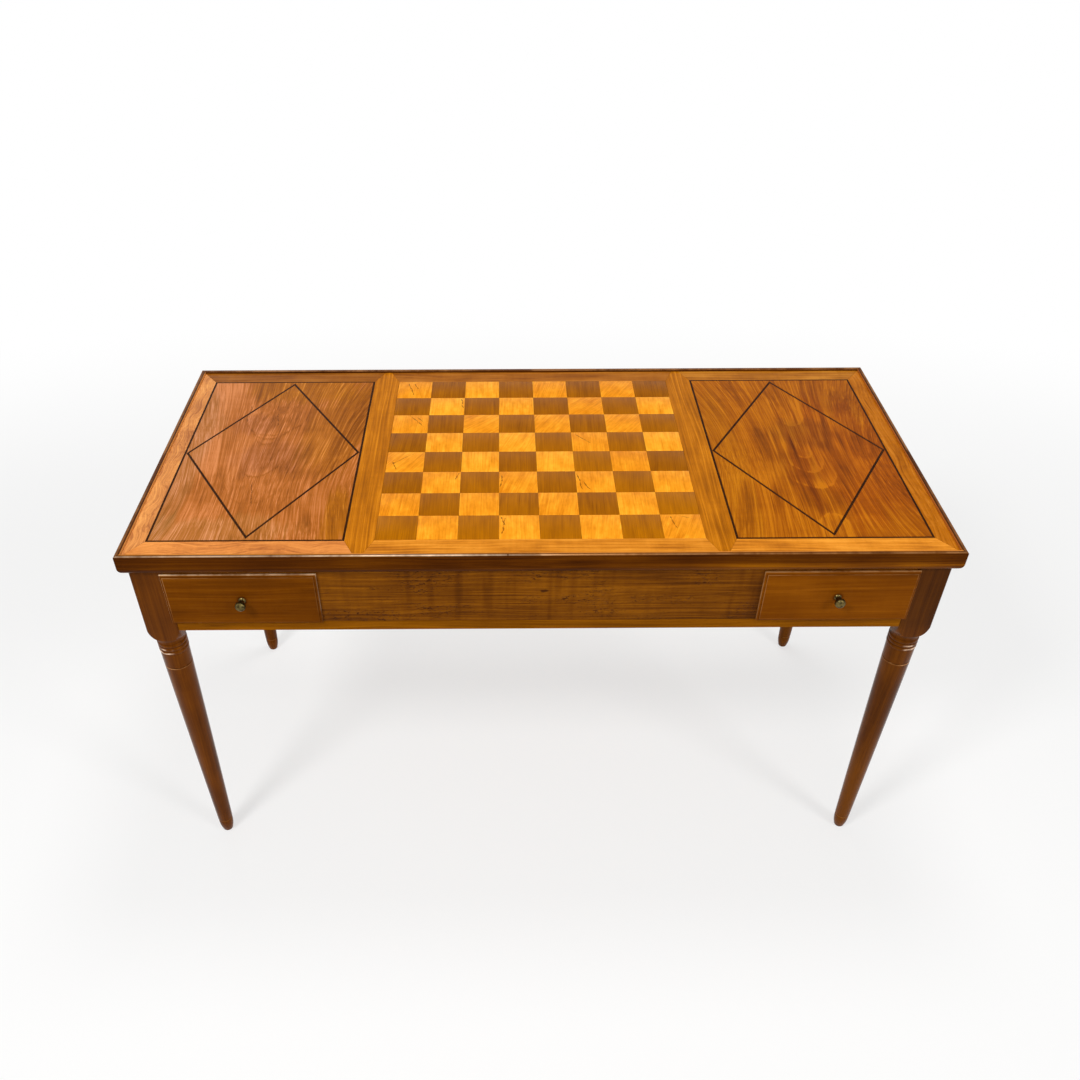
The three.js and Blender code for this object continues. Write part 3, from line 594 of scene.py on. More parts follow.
# The end fields. Each tongue is a rounded line of the figure: the place of its middle on the
# centre line, its half width, how long its sides run on, and its strength. Swells, patches, smoky
# places and tints are ovals: their middle and half sizes in mm, and how strong they are. Swells
# lift or lower the tone, and patches are golden. Cracks run from one place to another.
FIELDS = {
    "left": {
        "centre": -463 * MM,
        "fan": (1.0, 4.5),
        "tone": (1.02, 1.08, 3.0),
        "sway": mm(17, 150, 340),
        "edge": -0.42,
        "tongues": [
            (95, 30, 20, 0.5), (60, 19, 12, 0.35), (130, 44, 30, 0.4), (-20, 34, 6, 0.45),
            (-60, 58, 40, 0.25),
        ],
        "light": (-600 * MM, -440 * MM, 0.12),
        "swells": [
            (-392, 4, 36, 60, 0.16), (-538, -108, 36, 66, -0.17), (-440, 140, 34, 70, -0.08),
            (-444, -66, 26, 40, -0.09), (-448, -214, 40, 34, 0.09), (-346, -212, 26, 40, -0.08),
            (-342, 96, 26, 60, -0.07), (-394, -120, 28, 50, 0.05),
        ],
        "patches": [(-415, 228, 105, 60, 0.75), (-345, 80, 55, 150, 0.55), (-322, -200, 26, 90, 0.8)],
        "smoky": [(-462, -18, 60, 62, 0.45), (-500, 95, 40, 40, 0.4)],
        # On this field the tints are a painted pale haze of reflected light, at its left edge and along
        # its front.
        "tints": [
            (-606, 40, 50, 260, 0.9, (0.98, 1.16, 1.7)),
            (-500, -232, 140, 44, 0.8, (1.0, 1.2, 1.6)),
        ],
        "cracks": [(-518, 171, -517, 98), (-472, -88, -459, -167), (-465, 137, -458, 85)],
    },
    "right": {
        "centre": 458 * MM,
        "fan": (0.4, 5.5),
        "tone": (0.84, 0.95, 0.15),
        "sway": mm(17, 120, 400),
        "edge": 0.75,
        "tongues": [
            (-45, 44, 90, 0.85), (-22, 29, 75, 0.7), (2, 16, 60, 0.7), (-222, 20, -30, 0.8),
            (120, 22, 40, 0.6),
        ],
        "light": (330 * MM, 600 * MM, 0.1),
        "swells": [
            (412, 16, 40, 56, -0.16), (368, -140, 36, 50, -0.1), (514, 2, 30, 44, 0.08),
            (538, 96, 54, 44, 0.1), (562, 6, 30, 44, -0.14), (464, -148, 38, 42, -0.15),
            (512, -222, 34, 30, 0.12), (392, 190, 46, 36, -0.07),
        ],
        "patches": [],
        "smoky": [(471, 58, 66, 52, 0.85), (470, -45, 90, 70, 0.4), (560, 120, 40, 110, 0.4)],
        "tints": [
            (322, -90, 40, 300, 0.9, (1.04, 1.14, 1.2)),
            (540, -20, 110, 190, 0.9, (1.0, 0.86, 0.9)),
        ],
        "cracks": [],
    },
}
FIELD_GOLDEN = grain(0.2, (0.2, 0.052, 0.001), (0.37, 0.112, 0.001), (0.56, 0.2, 0.003))
TONGUE_ROUND = 0.62
FIELD_MARKS = {
    "fibre": mm(0.9, 60),
    "vein": mm(2, 110),
    "streak": mm(6.5, 190),
    "blotch": mm(46, 260),
    "curl": mm(46, 14),
    "ray": mm(1.9, 300),
}
FIELD_WEIGHTS = {"line": 0.35, "streak": 0.5, "vein": 0.55, "blotch": 0.7, "curl": 0.14, "fibre": 0.45}
MIDDLE_Y = sum(corner.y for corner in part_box("chessboard")) / 2
STRING_WIDTH = 3 * MM
STRING_DIRT = 1.1 * MM


def tongue(wood, facts, rough, edge):
    """A soft U-shaped line that opens to the back. A negative run opens it to the front.

    `edge` is how much its line is lighter or darker than the sheet.
    """
    place, half, run, strength = facts
    sense = -1 if run < 0 else 1
    behind = (wood.along - (place * MM + MIDDLE_Y)) * sense
    beyond = wood.math("MINIMUM", behind, 0.0) * TONGUE_ROUND
    away = wood.length(wood.flow, beyond) + rough - half * MM
    line = wood.fade(abs(away), 0.0, 2.8 * MM)
    inside = wood.spread(away, -20 * MM, 0.0)
    inside = inside * (away < 0.0)
    fade = wood.fade(behind, abs(run) * MM, (abs(run) + 40) * MM)
    some = wood.spread(wood.cells("streak"), 0.38, 0.62, 0.1, 1.0)
    both = inside * 0.32 + line * edge
    return both * fade * some * strength


def crack(graph, ends, reach=0.45 * MM):
    """A hairline between two places, in mm from the table's centre, with a slight wander."""
    x0, y0, x1, y1 = [value * MM for value in ends]
    y0, y1 = y0 + MIDDLE_Y, y1 + MIDDLE_Y
    along = (graph.y - y0) / (y1 - y0)
    wander = (graph.line_noise(graph.y * 42, 4.0, 0.6) - 0.5) * (8 * MM)
    line = x0 + along * (x1 - x0) + wander
    off = abs(graph.x - line)
    width = graph.spread(graph.line_noise(graph.y * 130, 2.0), 0.35, 0.65, 0.5 * reach, 2.2 * reach)
    near = graph.fade(off / width, 0.4, 1.4)
    ends_in = graph.spread(along, 0.0, 0.12) * graph.fade(along, 0.85, 1.0)
    return near * ends_in


def patch(graph, spot, uneven):
    """How much an oval place takes part: its middle and half sizes in mm, and its share."""
    x, y, half_x, half_y, share = spot
    far_x = (graph.x - x * MM) / (half_x * MM)
    far_y = (graph.y - (y * MM + MIDDLE_Y)) / (half_y * MM)
    return graph.fade(graph.length(far_x, far_y) + uneven, 0.6, 1.2, share)


def beside_strings(graph, side):
    """How much old polish has gathered in the joints beside the stringing."""
    gaps = []
    for part in ("frame", "lozenge"):
        low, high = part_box(f"string_{part}_{side}")
        half_x, half_y = (high.x - low.x) / 2, (high.y - low.y) / 2
        off_x = abs(graph.x - (low.x + high.x) / 2)
        off_y = abs(graph.y - (low.y + high.y) / 2)
        if part == "frame":
            inward = graph.math("MINIMUM", half_x - off_x, half_y - off_y)
        else:
            share = off_x / half_x + off_y / half_y
            side_off = half_x * half_y / math.hypot(half_x, half_y)
            inward = (1.0 - share) * side_off
        gaps.append(abs(inward - STRING_WIDTH / 2))
    near = graph.math("MINIMUM", *gaps)
    return graph.fade(near, STRING_WIDTH / 2, STRING_WIDTH / 2 + STRING_DIRT, 0.8)


def field_finish(side):
    """One figured sheet: feathered grain that opens to the back, with tongues along its middle."""
    facts = FIELDS[side]
    fan = (facts["centre"], MIDDLE_Y, *facts["fan"])
    wood = Wood(f"field_{side}", "Y", 50 + len(side), facts["sway"], fan, FIELD_MARKS)
    tone = wood.tone(5 * MM, FIELD_WEIGHTS)
    rough = (wood.cells("vein") - 0.5) * (9 * MM)
    for shape in facts["tongues"]:
        tone = tone + tongue(wood, shape, rough, facts["edge"])
    rays = wood.spread(wood.cells("ray"), 0.52, 0.7) * 0.24
    tone = tone - 0.04 + rays
    bright, dim, lift = facts["light"]
    tone = tone + wood.fade(wood.x, bright, dim, lift)
    uneven = (wood.cells("blotch") - 0.5) * 1.6
    uneven = uneven + (wood.cells("streak") - 0.5) * 1.2
    for spot in facts["swells"]:
        tone = tone + patch(wood, spot, uneven * 0.5)
    colour = wood.ramp(tone, tinted(CHERRY_FIELD, *facts["tone"]))
    golden = wood.ramp(tone, FIELD_GOLDEN)
    for spot in facts["patches"]:
        colour = wood.mix(patch(wood, spot, uneven), colour, golden)
    for spot in facts["smoky"]:
        colour = wood.darken(colour, patch(wood, spot, uneven), (0.62, 0.6, 1.0))
    # Tints: on the left field they paint a pale haze of reflected light.
    for *spot, tint in facts["tints"]:
        colour = wood.darken(colour, patch(wood, spot, uneven), tint)
    colour = wood.darken(colour, wood.pores(0.25))
    colour = wood.darken(colour, beside_strings(wood, side), (0.15, 0.11, 0.1))
    for ends in facts["cracks"]:
        colour = wood.mix(crack(wood, ends) * 0.8, colour, CRACK)
    return wood.polish(colour, tone, 0.22)


def make_fields():
    string = plain_wood("stringing", "X", 3, STRING_DARK, 0.3, gloss=0.02)
    for side in SIDES:
        dress(f"field_{side}", field_finish(side), VENEER_EASE)
        dress(f"string_frame_{side}", string, VENEER_EASE)
        dress(f"string_lozenge_{side}", string, VENEER_EASE)


CHESS_COUNT = 8
CHESS_GAP = 0.12 * MM
CHESS_EASE = 0.15 * MM
LIGHT_SQUARE = grain(0.2, (0.62, 0.18, 0.004), (0.84, 0.3, 0.012), (0.95, 0.44, 0.03))
DARK_SQUARE = grain(0.2, (0.19, 0.053, 0.001), (0.32, 0.098, 0.001), (0.46, 0.152, 0.001))
# Width and length of each kind of mark in mm, and its weight.
SQUARE_MARKS = {
    "light": [(0.9, 55, 0.5), (3, 70, 0.6), (16, 34, 0.7), (5, 8, 0.2)],
    "dark": [(0.9, 60, 0.5), (2, 90, 0.55), (7, 130, 0.3), (28, 60, 0.35)],
}
# Tone of the front row and of the back row.
SQUARE_FALL = {"light": (0.48, 0.5), "dark": (0.54, 0.46)}
# Cracks in single squares, in mm from the middle of the board.
SQUARE_CRACKS = [
    (-236, 250, -222, 200), (-224, 246, -216, 226), (-224, 125, -197, 84),
    (-212, 122, -199, 100), (-208, -4, -249, -42), (-244, -30, -236, -56),
    (-133, 188, -130, 150), (-129, -66, -137, -88), (-58, -70, -61, -112),
    (-61, -192, -52, -222), (-53, -196, -60, -244), (66, -68, 73, -120), (74, -92, 86, -120),
    (70, 58, 96, 26), (206, -194, 213, -228), (218, -193, 246, -204),
]


def chess_box():
    """Low corner of the chessboard, the size of a square, and the height of its face."""
    low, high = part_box("chessboard")
    return low, (high.x - low.x) / CHESS_COUNT, high.z


def square_finish(shade, stops, seed):
    """Squares cut from one veneer: each has its own stretch of grain, its own turn and tone."""
    low, size, _ = chess_box()
    graph = Graph(f"square_{shade}")
    column = graph.math("FLOOR", (graph.x - low.x) / size)
    row = graph.math("FLOOR", (graph.y - low.y) / size)
    square = {"Vector": graph.vector(column, row, float(seed))}
    draw = graph.call("TexWhiteNoise", square, "Color", noise_dimensions="3D")
    one, two, _ = graph.split(draw)
    lean = graph.math("POWER", one, 4.0) * (0.8 if shade == "light" else 0.08)
    turn = {"Vector": graph.place, "Angle": lean}
    turned = graph.call("VectorRotate", turn, rotation_type="Z_AXIS")
    moved = graph.call("VectorMath", {0: turned, 1: draw}, operation="ADD")

    def cells(width, length):
        return graph.noise(graph.scaled(moved, (1 / width, 1 / length, 1 / width)), 2.0, 0.65)

    fall = graph.spread(graph.y, low.y, low.y + CHESS_COUNT * size, *SQUARE_FALL[shade])
    tone = fall + (two - 0.5) * 0.2
    for width, length, weight in SQUARE_MARKS[shade]:
        tone = tone + (cells(width * MM, length * MM) - 0.5) * weight
    colour = graph.ramp(tone, stops)
    if shade == "light":
        for ends in SQUARE_CRACKS:
            colour = graph.mix(crack(graph, ends, 0.55 * MM) * 0.9, colour, SQUARE_CRACK)
    height = tone * 0.5 + cells(1.0 * MM, 55 * MM)
    return graph.surface(colour, 0.24, height, 0.04 * MM, 0.15, gloss=GLOSS, tint=AMBER)


def make_chessboard():
    low, size, top = chess_box()
    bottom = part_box("chessboard")[0].z
    finishes = {
        "light": square_finish("light", LIGHT_SQUARE, 5),
        "dark": square_finish("dark", DARK_SQUARE, 9),
    }
    for shade, parity in (("light", 1), ("dark", 0)):
        shells = []
        for column in range(CHESS_COUNT):
            for row in range(CHESS_COUNT):
                if (column + row) % 2 != parity:
                    continue
                x, y = low.x + column * size, low.y + row * size
                span = (x + CHESS_GAP, x + size - CHESS_GAP, y + CHESS_GAP, y + size - CHESS_GAP)
                shells.append(slab(*span, bottom, top, CHESS_EASE))
        stands_for = ("chessboard",) if shade == "light" else ()
        shell = merged(shells)
        make_piece(f"squares_{shade}", shell, finishes[shade], "top", stands_for)


MOULDING_STEPS = 12
MOULDING = named_mm(
    lip_width=8.4, lip_outer=2.2, lip_inner=1.2, ovolo=13, skirt=10.7, mitre_gap=0.15,
    under_core=0.3, crest=4.5,
)
# Where the ovolo's curve ends, in degrees, a little before the top of the skirt.
OVOLO_END = 265


def moulding_section():
    """Inset from the outer face and height, counter-clockwise: skirt, step, lip and ovolo."""
    low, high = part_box("edge_moulding_front")
    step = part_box("top_core")[0].z - MOULDING.under_core
    top, bottom = high.z, low.z
    size = MOULDING
    points = [(size.skirt, bottom), (size.skirt, step), (size.lip_width, step)]
    inner, outer = size.lip_inner, size.lip_outer
    points += arc((size.lip_width - inner, top - inner), (inner, inner), 0, 90, MOULDING_STEPS)
    points += arc((outer, top - outer), (outer, outer), 90, 180, MOULDING_STEPS)
    centre, reach = (size.skirt, bottom + size.ovolo), (size.skirt, size.ovolo)
    return points + arc(centre, reach, 180, OVOLO_END, MOULDING_STEPS)


def make_mouldings():
    low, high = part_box("edge_moulding_front")
    end_low, end_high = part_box("edge_moulding_left")
    middle = (end_low.y + end_high.y) / 2
    halves = [(high.x - low.x) / 2, (end_high.y - end_low.y) / 2]
    halves = [half + MOULDING.mitre_gap for half in halves]
    section = moulding_section()
    for quarter, side in enumerate(("front", "right", "back", "left")):
        along, across = halves if side in FRONTS else reversed(halves)
        turn = quarter * math.pi / 2
        c, s = round(math.cos(turn)), round(math.sin(turn))
        rows = []
        for end in (-1, 1):
            row = []
            for inset, height in section:
                x = end * (along - inset - MOULDING.mitre_gap)
                y = inset - across
                row.append((c * x - s * y, s * x + c * y + middle, height))
            rows.append(row)
        axis = "X" if side in FRONTS else "Y"
        finish = moulding_finish(side, axis)
        name = f"moulding_{side}"
        make_piece(name, lofted(rows), finish, "top", (f"edge_moulding_{side}",))


# The inner side of the lip at each end, worn to the wood.
LIP_INNER = {"left": (0.62, 0.25, 0.06), "right": (0.42, 0.125, 0.02)}


def moulding_finish(side, axis):
    """Dark polished wood. The crest of its lip is rubbed lighter, in runs of uneven strength. On the
    front the crest is also a painted highlight, strongest left of the middle, and the lower ovolo is
    painted lighter towards the right as a reflection of the floor.
    """
    wood = Wood(f"moulding_{side}", axis, 60 + len(side), mm(5, 60, 420))
    tone = wood.tone(5 * MM, {"blotch": 0.7, "curl": 0.05, "line": 0.5})
    colour = wood.coat(tone, tinted(MOULDING_RED, 0.9), 0.35)
    low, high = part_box("edge_moulding_front")
    crest = wood.spread(wood.z, high.z - 1.1 * MM, high.z - 0.3 * MM)
    run = wood.line_noise(wood.along * 7.0, 5.0, 0.7)
    if side != "front":
        out = abs(wood.x) - (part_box("edge_moulding_right")[1].x - MOULDING.crest)
        if side == "back":
            out = wood.y - (high.y - low.y + MOULDING.crest)
        if side in SIDES:
            colour = wood.mix(wood.fade(out, -3.7 * MM, -2.8 * MM, 0.9), colour, LIP_INNER[side])
        worn = crest * wood.spread(out, -1.2 * MM, 0.4 * MM) * wood.spread(run, 0.38, 0.62, 0.12, 0.9)
        return wood.polish(wood.mix(worn, colour, WEAR_AND_HIGHLIGHT["lip"]), tone, 0.18)
    # The lower ovolo of the front is painted lighter, more so towards the right: a painted reflection
    # of the pale floor.
    to_right = wood.spread(wood.x, 0.0, 0.32)
    lower = wood.fade(wood.z, low.z + 14 * MM, low.z + 20 * MM) * (to_right * 0.8 + 0.1)
    colour = wood.mix(lower, colour, wood.ramp(tone, tinted(MOULDING_RED, 2.1, 1.2)))
    inset = wood.y - low.y
    slope = crest * wood.spread(inset, 4.9 * MM, 5.9 * MM)
    colour = wood.mix(slope * wood.spread(run, 0.3, 0.55, 0.6, 0.95), colour, WEAR_AND_HIGHLIGHT["lip_slope"])
    # Painted highlight along the front lip's crest, together with its wear: near white left of the
    # middle, amber to the right, broken at the joint.
    worn = crest * wood.fade(inset, 3.0 * MM, 4.0 * MM)
    peak = wood.spread(abs(wood.x + 150 * MM), 80 * MM, 220 * MM, 0.95, 0.5)
    worn = worn * wood.spread(run, 0.36, 0.6, 0.3, 1.0) * peak
    joint = wood.spread(abs(wood.x + 50 * MM), 0.5 * MM, 1.4 * MM)
    worn = worn * joint * wood.spread(to_right, 0.0, 1.0, 1.0, 0.55)
    amber = wood.spread(wood.x, -80 * MM, 60 * MM)
    rub_and_glint = wood.mix(amber, WEAR_AND_HIGHLIGHT["crest_highlight_left"], WEAR_AND_HIGHLIGHT["crest_highlight_right"])
    return wood.polish(wood.mix(worn, colour, rub_and_glint), tone, 0.18)


# Legs

LEG_RINGS = 3
# Steps of each curve of the turning, and of each face of its block.
LEG_STEPS = SimpleNamespace(foot=6, toe=12, shaft=24, ring=10, neck=10, dome=14, face=24)
# How far the dome's last row lies before the face of the block, in steps.
DOME_STOP = 0.12
LEG = named_mm(
    ease=1.4, dome_rise=10, dome=34, neck=24.2, neck_waist=21.8, neck_height=10, ring=24.2,
    ring_height=6.8, groove=0.9, ring_waist=22.8, shaft=23.4, swell=0.8, line_drop=31,
    line=2.4, line_depth=1.0, toe_height=34, toe=13, toe_swell=1.2, foot=9.4, toe_round=2.4,
    crease=0.35,
)


# How much the foot's tone differs, and how bright the block and the shaft are.
LEG_TONES = {"left": (-0.06, 0.98, 1.1), "right": (0.3, 0.6, 0.85)}


def leg_heights(dome_top):
    """Heights of the neck's top, the rings' top, the shaft's top and its line, and the rings' pitch."""
    neck_top = dome_top - LEG.dome
    rings_top = neck_top - LEG.neck_height
    pitch = LEG.ring_height + LEG.groove
    shaft_top = rings_top - LEG_RINGS * pitch
    return neck_top, rings_top, shaft_top, shaft_top - LEG.line_drop, pitch


def turned_profile(dome_top):
    """Radius and height of the turned part, from the foot to the top of the neck."""
    leg = LEG
    neck_top, rings_top, shaft_top, line, pitch = leg_heights(dome_top)
    half_line = leg.line / 2
    foot, toe, swell, rise = leg.foot, leg.toe, leg.toe_swell, leg.toe_height
    points = [(foot - leg.toe_round, 0.0)]
    points += curve(points[-1], (foot, 0.0), (foot + swell / 2, 2 * leg.toe_round), LEG_STEPS.foot)
    points += curve(points[-1], (toe + swell / 2, rise / 2), (toe, rise - leg.line), LEG_STEPS.toe)
    points += [(toe - leg.line_depth, rise), (toe + leg.line_depth / 2, rise + half_line)]
    radius = leg.shaft - leg.line_depth / 2
    middle = ((toe + radius) / 2 + leg.swell, (rise + line) / 2)
    points += curve(points[-1], middle, (radius, line - half_line), LEG_STEPS.shaft)
    points += [(radius - leg.line_depth, line), (radius, line + half_line)]
    points += [(leg.shaft, shaft_top - leg.groove), (leg.ring_waist, shaft_top)]
    bulge = leg.ring - leg.ring_waist
    for ring in range(LEG_RINGS):
        low = shaft_top + ring * pitch
        centre = (leg.ring_waist, low + leg.ring_height / 2)
        points += arc(centre, (bulge, leg.ring_height / 2), -90, 90, LEG_STEPS.ring)
        points.append((leg.ring_waist, low + pitch))
    waist = (leg.neck_waist, (rings_top + neck_top) / 2)
    points += curve(points[-1], waist, (leg.neck, neck_top - leg.groove), LEG_STEPS.neck)
    points.append((leg.neck, neck_top))
    return points


def block_reach(turn, half):
    """Distance from the axis to the eased square block, in a direction."""
    c, s = abs(math.cos(turn)), abs(math.sin(turn))
    return min(half / max(c, s), (2 * half - LEG.ease) / (c + s))


def leg_shell(x, y, half, dome_top, top):
    """The turning meets the square block in an arc on each face, so each column has its own rows."""
    corner = math.atan2(half - LEG.ease, half)
    turns = []
    for face in range(4):
        for k in range(LEG_STEPS.face + 1):
            turns.append(face * math.pi / 2 + corner * (2 * k / LEG_STEPS.face - 1))
    profile = turned_profile(dome_top)
    reach = half * math.sqrt(2) - LEG.neck
    columns = []
    for turn in turns:
        limit = block_reach(turn, half)
        stop = math.acos(min(1.0, (limit - LEG.neck) / reach))
        heights = list(profile)
        for k in range(1, LEG_STEPS.dome + 1):
            done = (k - DOME_STOP * (k == LEG_STEPS.dome)) / LEG_STEPS.dome
            sweep = -math.pi / 2 + (math.pi / 2 - stop) * done
            heights.append((LEG.neck + reach * math.cos(sweep), dome_top + LEG.dome * math.sin(sweep)))
        meet = dome_top - LEG.dome * math.sin(stop)
        heights += [(limit, meet + LEG.crease), (limit, (meet + top) / 2), (limit, top)]
        columns.append([(x + r * math.cos(turn), y + r * math.sin(turn), z) for r, z in heights])
    return lofted([list(row) for row in zip(*columns)])


def leg_finish(name, seed, tones, centre, dome_top):
    """Dark glossy turning, darker in the grooves between its rings. Its lower rings are rubbed lighter
    on their outer side, as wear and as painted glints.
    """
    wood = Wood(f"{name}_wood", "Z", seed, mm(6, 50, 300))
    calm = {"blotch": 0.8, "curl": 0.08, "line": 0.3, "streak": 0.4, "vein": 0.2, "fibre": 0.25}
    tone = wood.tone(6 * MM, calm)
    lift, *shares = tones
    tone = tone + wood.fade(wood.z, 120 * MM, 420 * MM, lift)
    block, shaft = [wood.ramp(tone, tinted(LEG_BROWN, share)) for share in shares]
    colour = wood.mix(wood.spread(wood.z, dome_top - 30 * MM, dome_top), shaft, block)
    colour = wood.darken(colour, wood.pores(0.2))
    _, _, shaft_top, line, pitch = leg_heights(dome_top)
    # Darker in the grooves between the rings.
    turns = (wood.z - shaft_top) / pitch
    phase = abs(wood.math("FRACT", turns) - 0.5)
    banded = (turns > 0.0) * (turns < float(LEG_RINGS))
    groove_darkening = wood.spread(phase, 0.4, 0.48) * banded
    colour = wood.darken(colour, groove_darkening * 0.9)
    # The outer side of the lower rings is painted lighter: partly wear, partly a painted glint of the
    # lamps.
    outward = abs(wood.x) - abs(centre.x)
    outward = outward + (wood.y - centre.y) * math.copysign(1.0, centre.y)
    outward = wood.spread(outward, 14 * MM, 30 * MM)
    place = wood.vector(wood.x * 90.0, wood.y * 90.0, wood.z * 150.0)
    rub_and_glint = wood.spread(wood.noise(place, 2.0), 0.4, 0.6) * banded
    rub_and_glint = rub_and_glint * outward * wood.fade(phase, 0.08, 0.28)
    lower = turns < 2.0
    colour = wood.mix(rub_and_glint * lower * 0.9, colour, WEAR_AND_HIGHLIGHT["rings"])
    for place in (line, LEG.toe_height):
        off = abs(wood.z - place)
        colour = wood.darken(colour, wood.fade(off, 0.2 * MM, 0.7 * MM, 0.8))
        # Under each incised line the wood is painted lighter on its outer side: wear together with a
        # painted glint.
        under = place - wood.z
        rub_and_highlight = wood.spread(under, 0.5 * MM, 0.9 * MM) * wood.fade(under, 1.7 * MM, 2.3 * MM)
        colour = wood.mix(rub_and_highlight * (outward * 0.6 + 0.2), colour, WEAR_AND_HIGHLIGHT["leg_line_glint"])
    return wood.polish(colour, tone, 0.2, gloss=0.1)


def make_legs():
    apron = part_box("rail_front_bottom")[0].z
    dome_top = apron + LEG.dome_rise
    names = [(row, side) for row in FRONTS for side in SIDES]
    for seed, (row, side) in enumerate(names):
        name = f"leg_{row}_{side}"
        low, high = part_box(name)
        centre = (low + high) / 2
        shell = leg_shell(centre.x, centre.y, (high.x - low.x) / 2, dome_top, high.z)
        finish = leg_finish(name, 70 + seed, LEG_TONES[side], centre, dome_top)
        make_piece(f"{name}_turned", shell, finish, "frame", (name,), 30)


# Friezes, drawers and the well


# Place along the frieze, height, and half width and height of its one small knot.
KNOT = mm(6, 618, 7, 3.5)


def frieze_finish():
    """Coarse veneer whose polish has crazed in patches, with soft marks across the grain."""
    wood = Wood("frieze_front", "X", 81, mm(3, 40, 200))
    tone = wood.tone(3.2 * MM, {"line": 0.6, "streak": 0.5, "vein": 0.6, "fibre": 0.6, "blotch": 0.8})
    colour = wood.coat(tone, FRIEZE_BROWN, 0.5)
    smudge = wood.front_noise(42.0, 0.0, 4.0, 2.0)
    colour = wood.darken(colour, wood.spread(smudge, 0.52, 0.72, 0.0, 0.6), (0.5, 0.42, 0.4))
    colour = wood.darken(colour, wood.spread(wood.x, 50 * MM, 350 * MM, 0.0, 0.3), (0.55, 0.5, 0.5))
    bend = wood.front_noise(130.0, 5.0, 260.0, 3.0)
    across = wood.rise * 240.0 + bend * 2.2
    net = wood.vector(wood.x * 46.0 + bend * 1.6, 0.0, across)
    web = {"Vector": net, "Scale": 1.0}
    edge = wood.call("TexVoronoi", web, "Distance", feature="DISTANCE_TO_EDGE")
    line = wood.fade(edge, 0.0, 0.1)
    where = wood.front_noise(9.0, 3.1, 22.0, 3.0)
    gaps = wood.front_noise(210.0, 7.7, 380.0, 2.0)
    broken = line * wood.spread(where, 0.46, 0.62, 0.0, 0.9)
    broken = broken * wood.spread(gaps, 0.42, 0.58)
    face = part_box("frieze_front")[0].y
    broken = broken * (wood.y < face + 1.0 * MM)
    colour = wood.mix(broken, colour, CRAZED)
    off = wood.length((wood.x - KNOT[0]) / KNOT[2], (wood.z - KNOT[1]) / KNOT[3])
    off = off + (bend - 0.5) * 1.6
    colour = wood.mix(wood.fade(off, 0.5, 1.2, 0.85), colour, KNOT_DARK)
    height = tone - broken * 1.5
    return wood.surface(colour, 0.3, height, 0.2 * MM, 0.6, gloss=0.08, tint=AMBER)


def make_friezes():
    calm = {"curl": 0.05, "blotch": 0.5}
    dress("frieze_front", frieze_finish(), 0.5 * MM)
    dress("rail_front_bottom", plain_wood("rail", "X", 82, RAIL_BROWN, weights=calm), 0.5 * MM)
    dress("frieze_back", plain_wood("frieze_back", "X", 83, FRIEZE_BROWN, 0.34, weights=calm), 0.6 * MM)
    for seed, side in enumerate(SIDES):
        finish = plain_wood(f"frieze_{side}", "Y", 84 + seed, FRIEZE_BROWN, weights=calm)
        dress(f"frieze_{side}", finish, 0.6 * MM)


KNOB_COLUMNS = 48
KNOB_STEPS = SimpleNamespace(stem=8, under=8, side=10, crown=14)
KNOB = named_mm(
    spigot=2.6, spigot_length=12, seat=0.3, base=5.6, base_height=0.8, stem=3.4,
    stem_round=2, head=8.2, crown=5, tip=0.2, reach=20,
)


def knob_profile():
    """Radius and distance in front of the drawer face."""
    knob = KNOB
    head_low = knob.reach - 2 * knob.crown
    points = [(knob.spigot, -knob.spigot_length), (knob.spigot, knob.seat), (knob.base, knob.seat)]
    base_top = (knob.base, knob.seat + knob.base_height)
    points += curve(base_top, (knob.stem, knob.stem_round), (knob.stem, head_low / 2), KNOB_STEPS.stem)
    under = head_low + knob.seat
    head_start = (knob.head - knob.stem_round, under)
    points += curve(points[-1], (knob.stem, head_low), head_start, KNOB_STEPS.under)
    widest = (knob.head, knob.reach - knob.crown)
    points += curve(points[-1], (knob.head, under), widest, KNOB_STEPS.side)
    points += curve(points[-1], (knob.head, knob.reach), (knob.tip, knob.reach), KNOB_STEPS.crown)
    return points


def brass_finish():
    graph = Graph("aged_brass")

    def spots(scale, detail):
        return graph.noise(graph.scaled(graph.place, (scale,) * 3), detail, 0.6)

    coarse = spots(240, 4.0)
    tarnish = graph.spread(coarse, 0.4, 0.64)
    colour = graph.mix(tarnish, (0.05, 0.034, 0.011), (0.17, 0.125, 0.042))
    colour = graph.mix(graph.spread(spots(520, 2.0), 0.56, 0.7, 0.0, 0.5), colour, (0.05, 0.06, 0.03))
    rough = graph.spread(coarse, 0.3, 0.7, 0.55, 0.3)
    return graph.surface(colour, rough, coarse, 0.15 * MM, 0.5, metallic=1.0)


def make_knobs():
    brass = brass_finish()
    for side in SIDES:
        name = f"drawer_{side}_knob"
        low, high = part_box(name)
        centre = (low + high) / 2
        face = low.y + KNOB.reach
        rows = []
        for radius, out in knob_profile():
            row = []
            for k in range(KNOB_COLUMNS):
                turn = 2 * math.pi * k / KNOB_COLUMNS
                x, z = centre.x + radius * math.cos(turn), centre.z + radius * math.sin(turn)
                row.append((x, face - out, z))
            rows.append(row)
        make_piece(f"knob_{side}", lofted(rows), brass, f"drawer_{side}", (name,), 50)


LIP = named_mm(edge=0.6, line=4.4, line_half=0.8)


# How bright each drawer is, and how worn and highlit the left and the right end of its edge are.
DRAWER_FACTS = {"left": (0.85, 1.0, 0.1), "right": (1.05, 0.7, 0.6)}


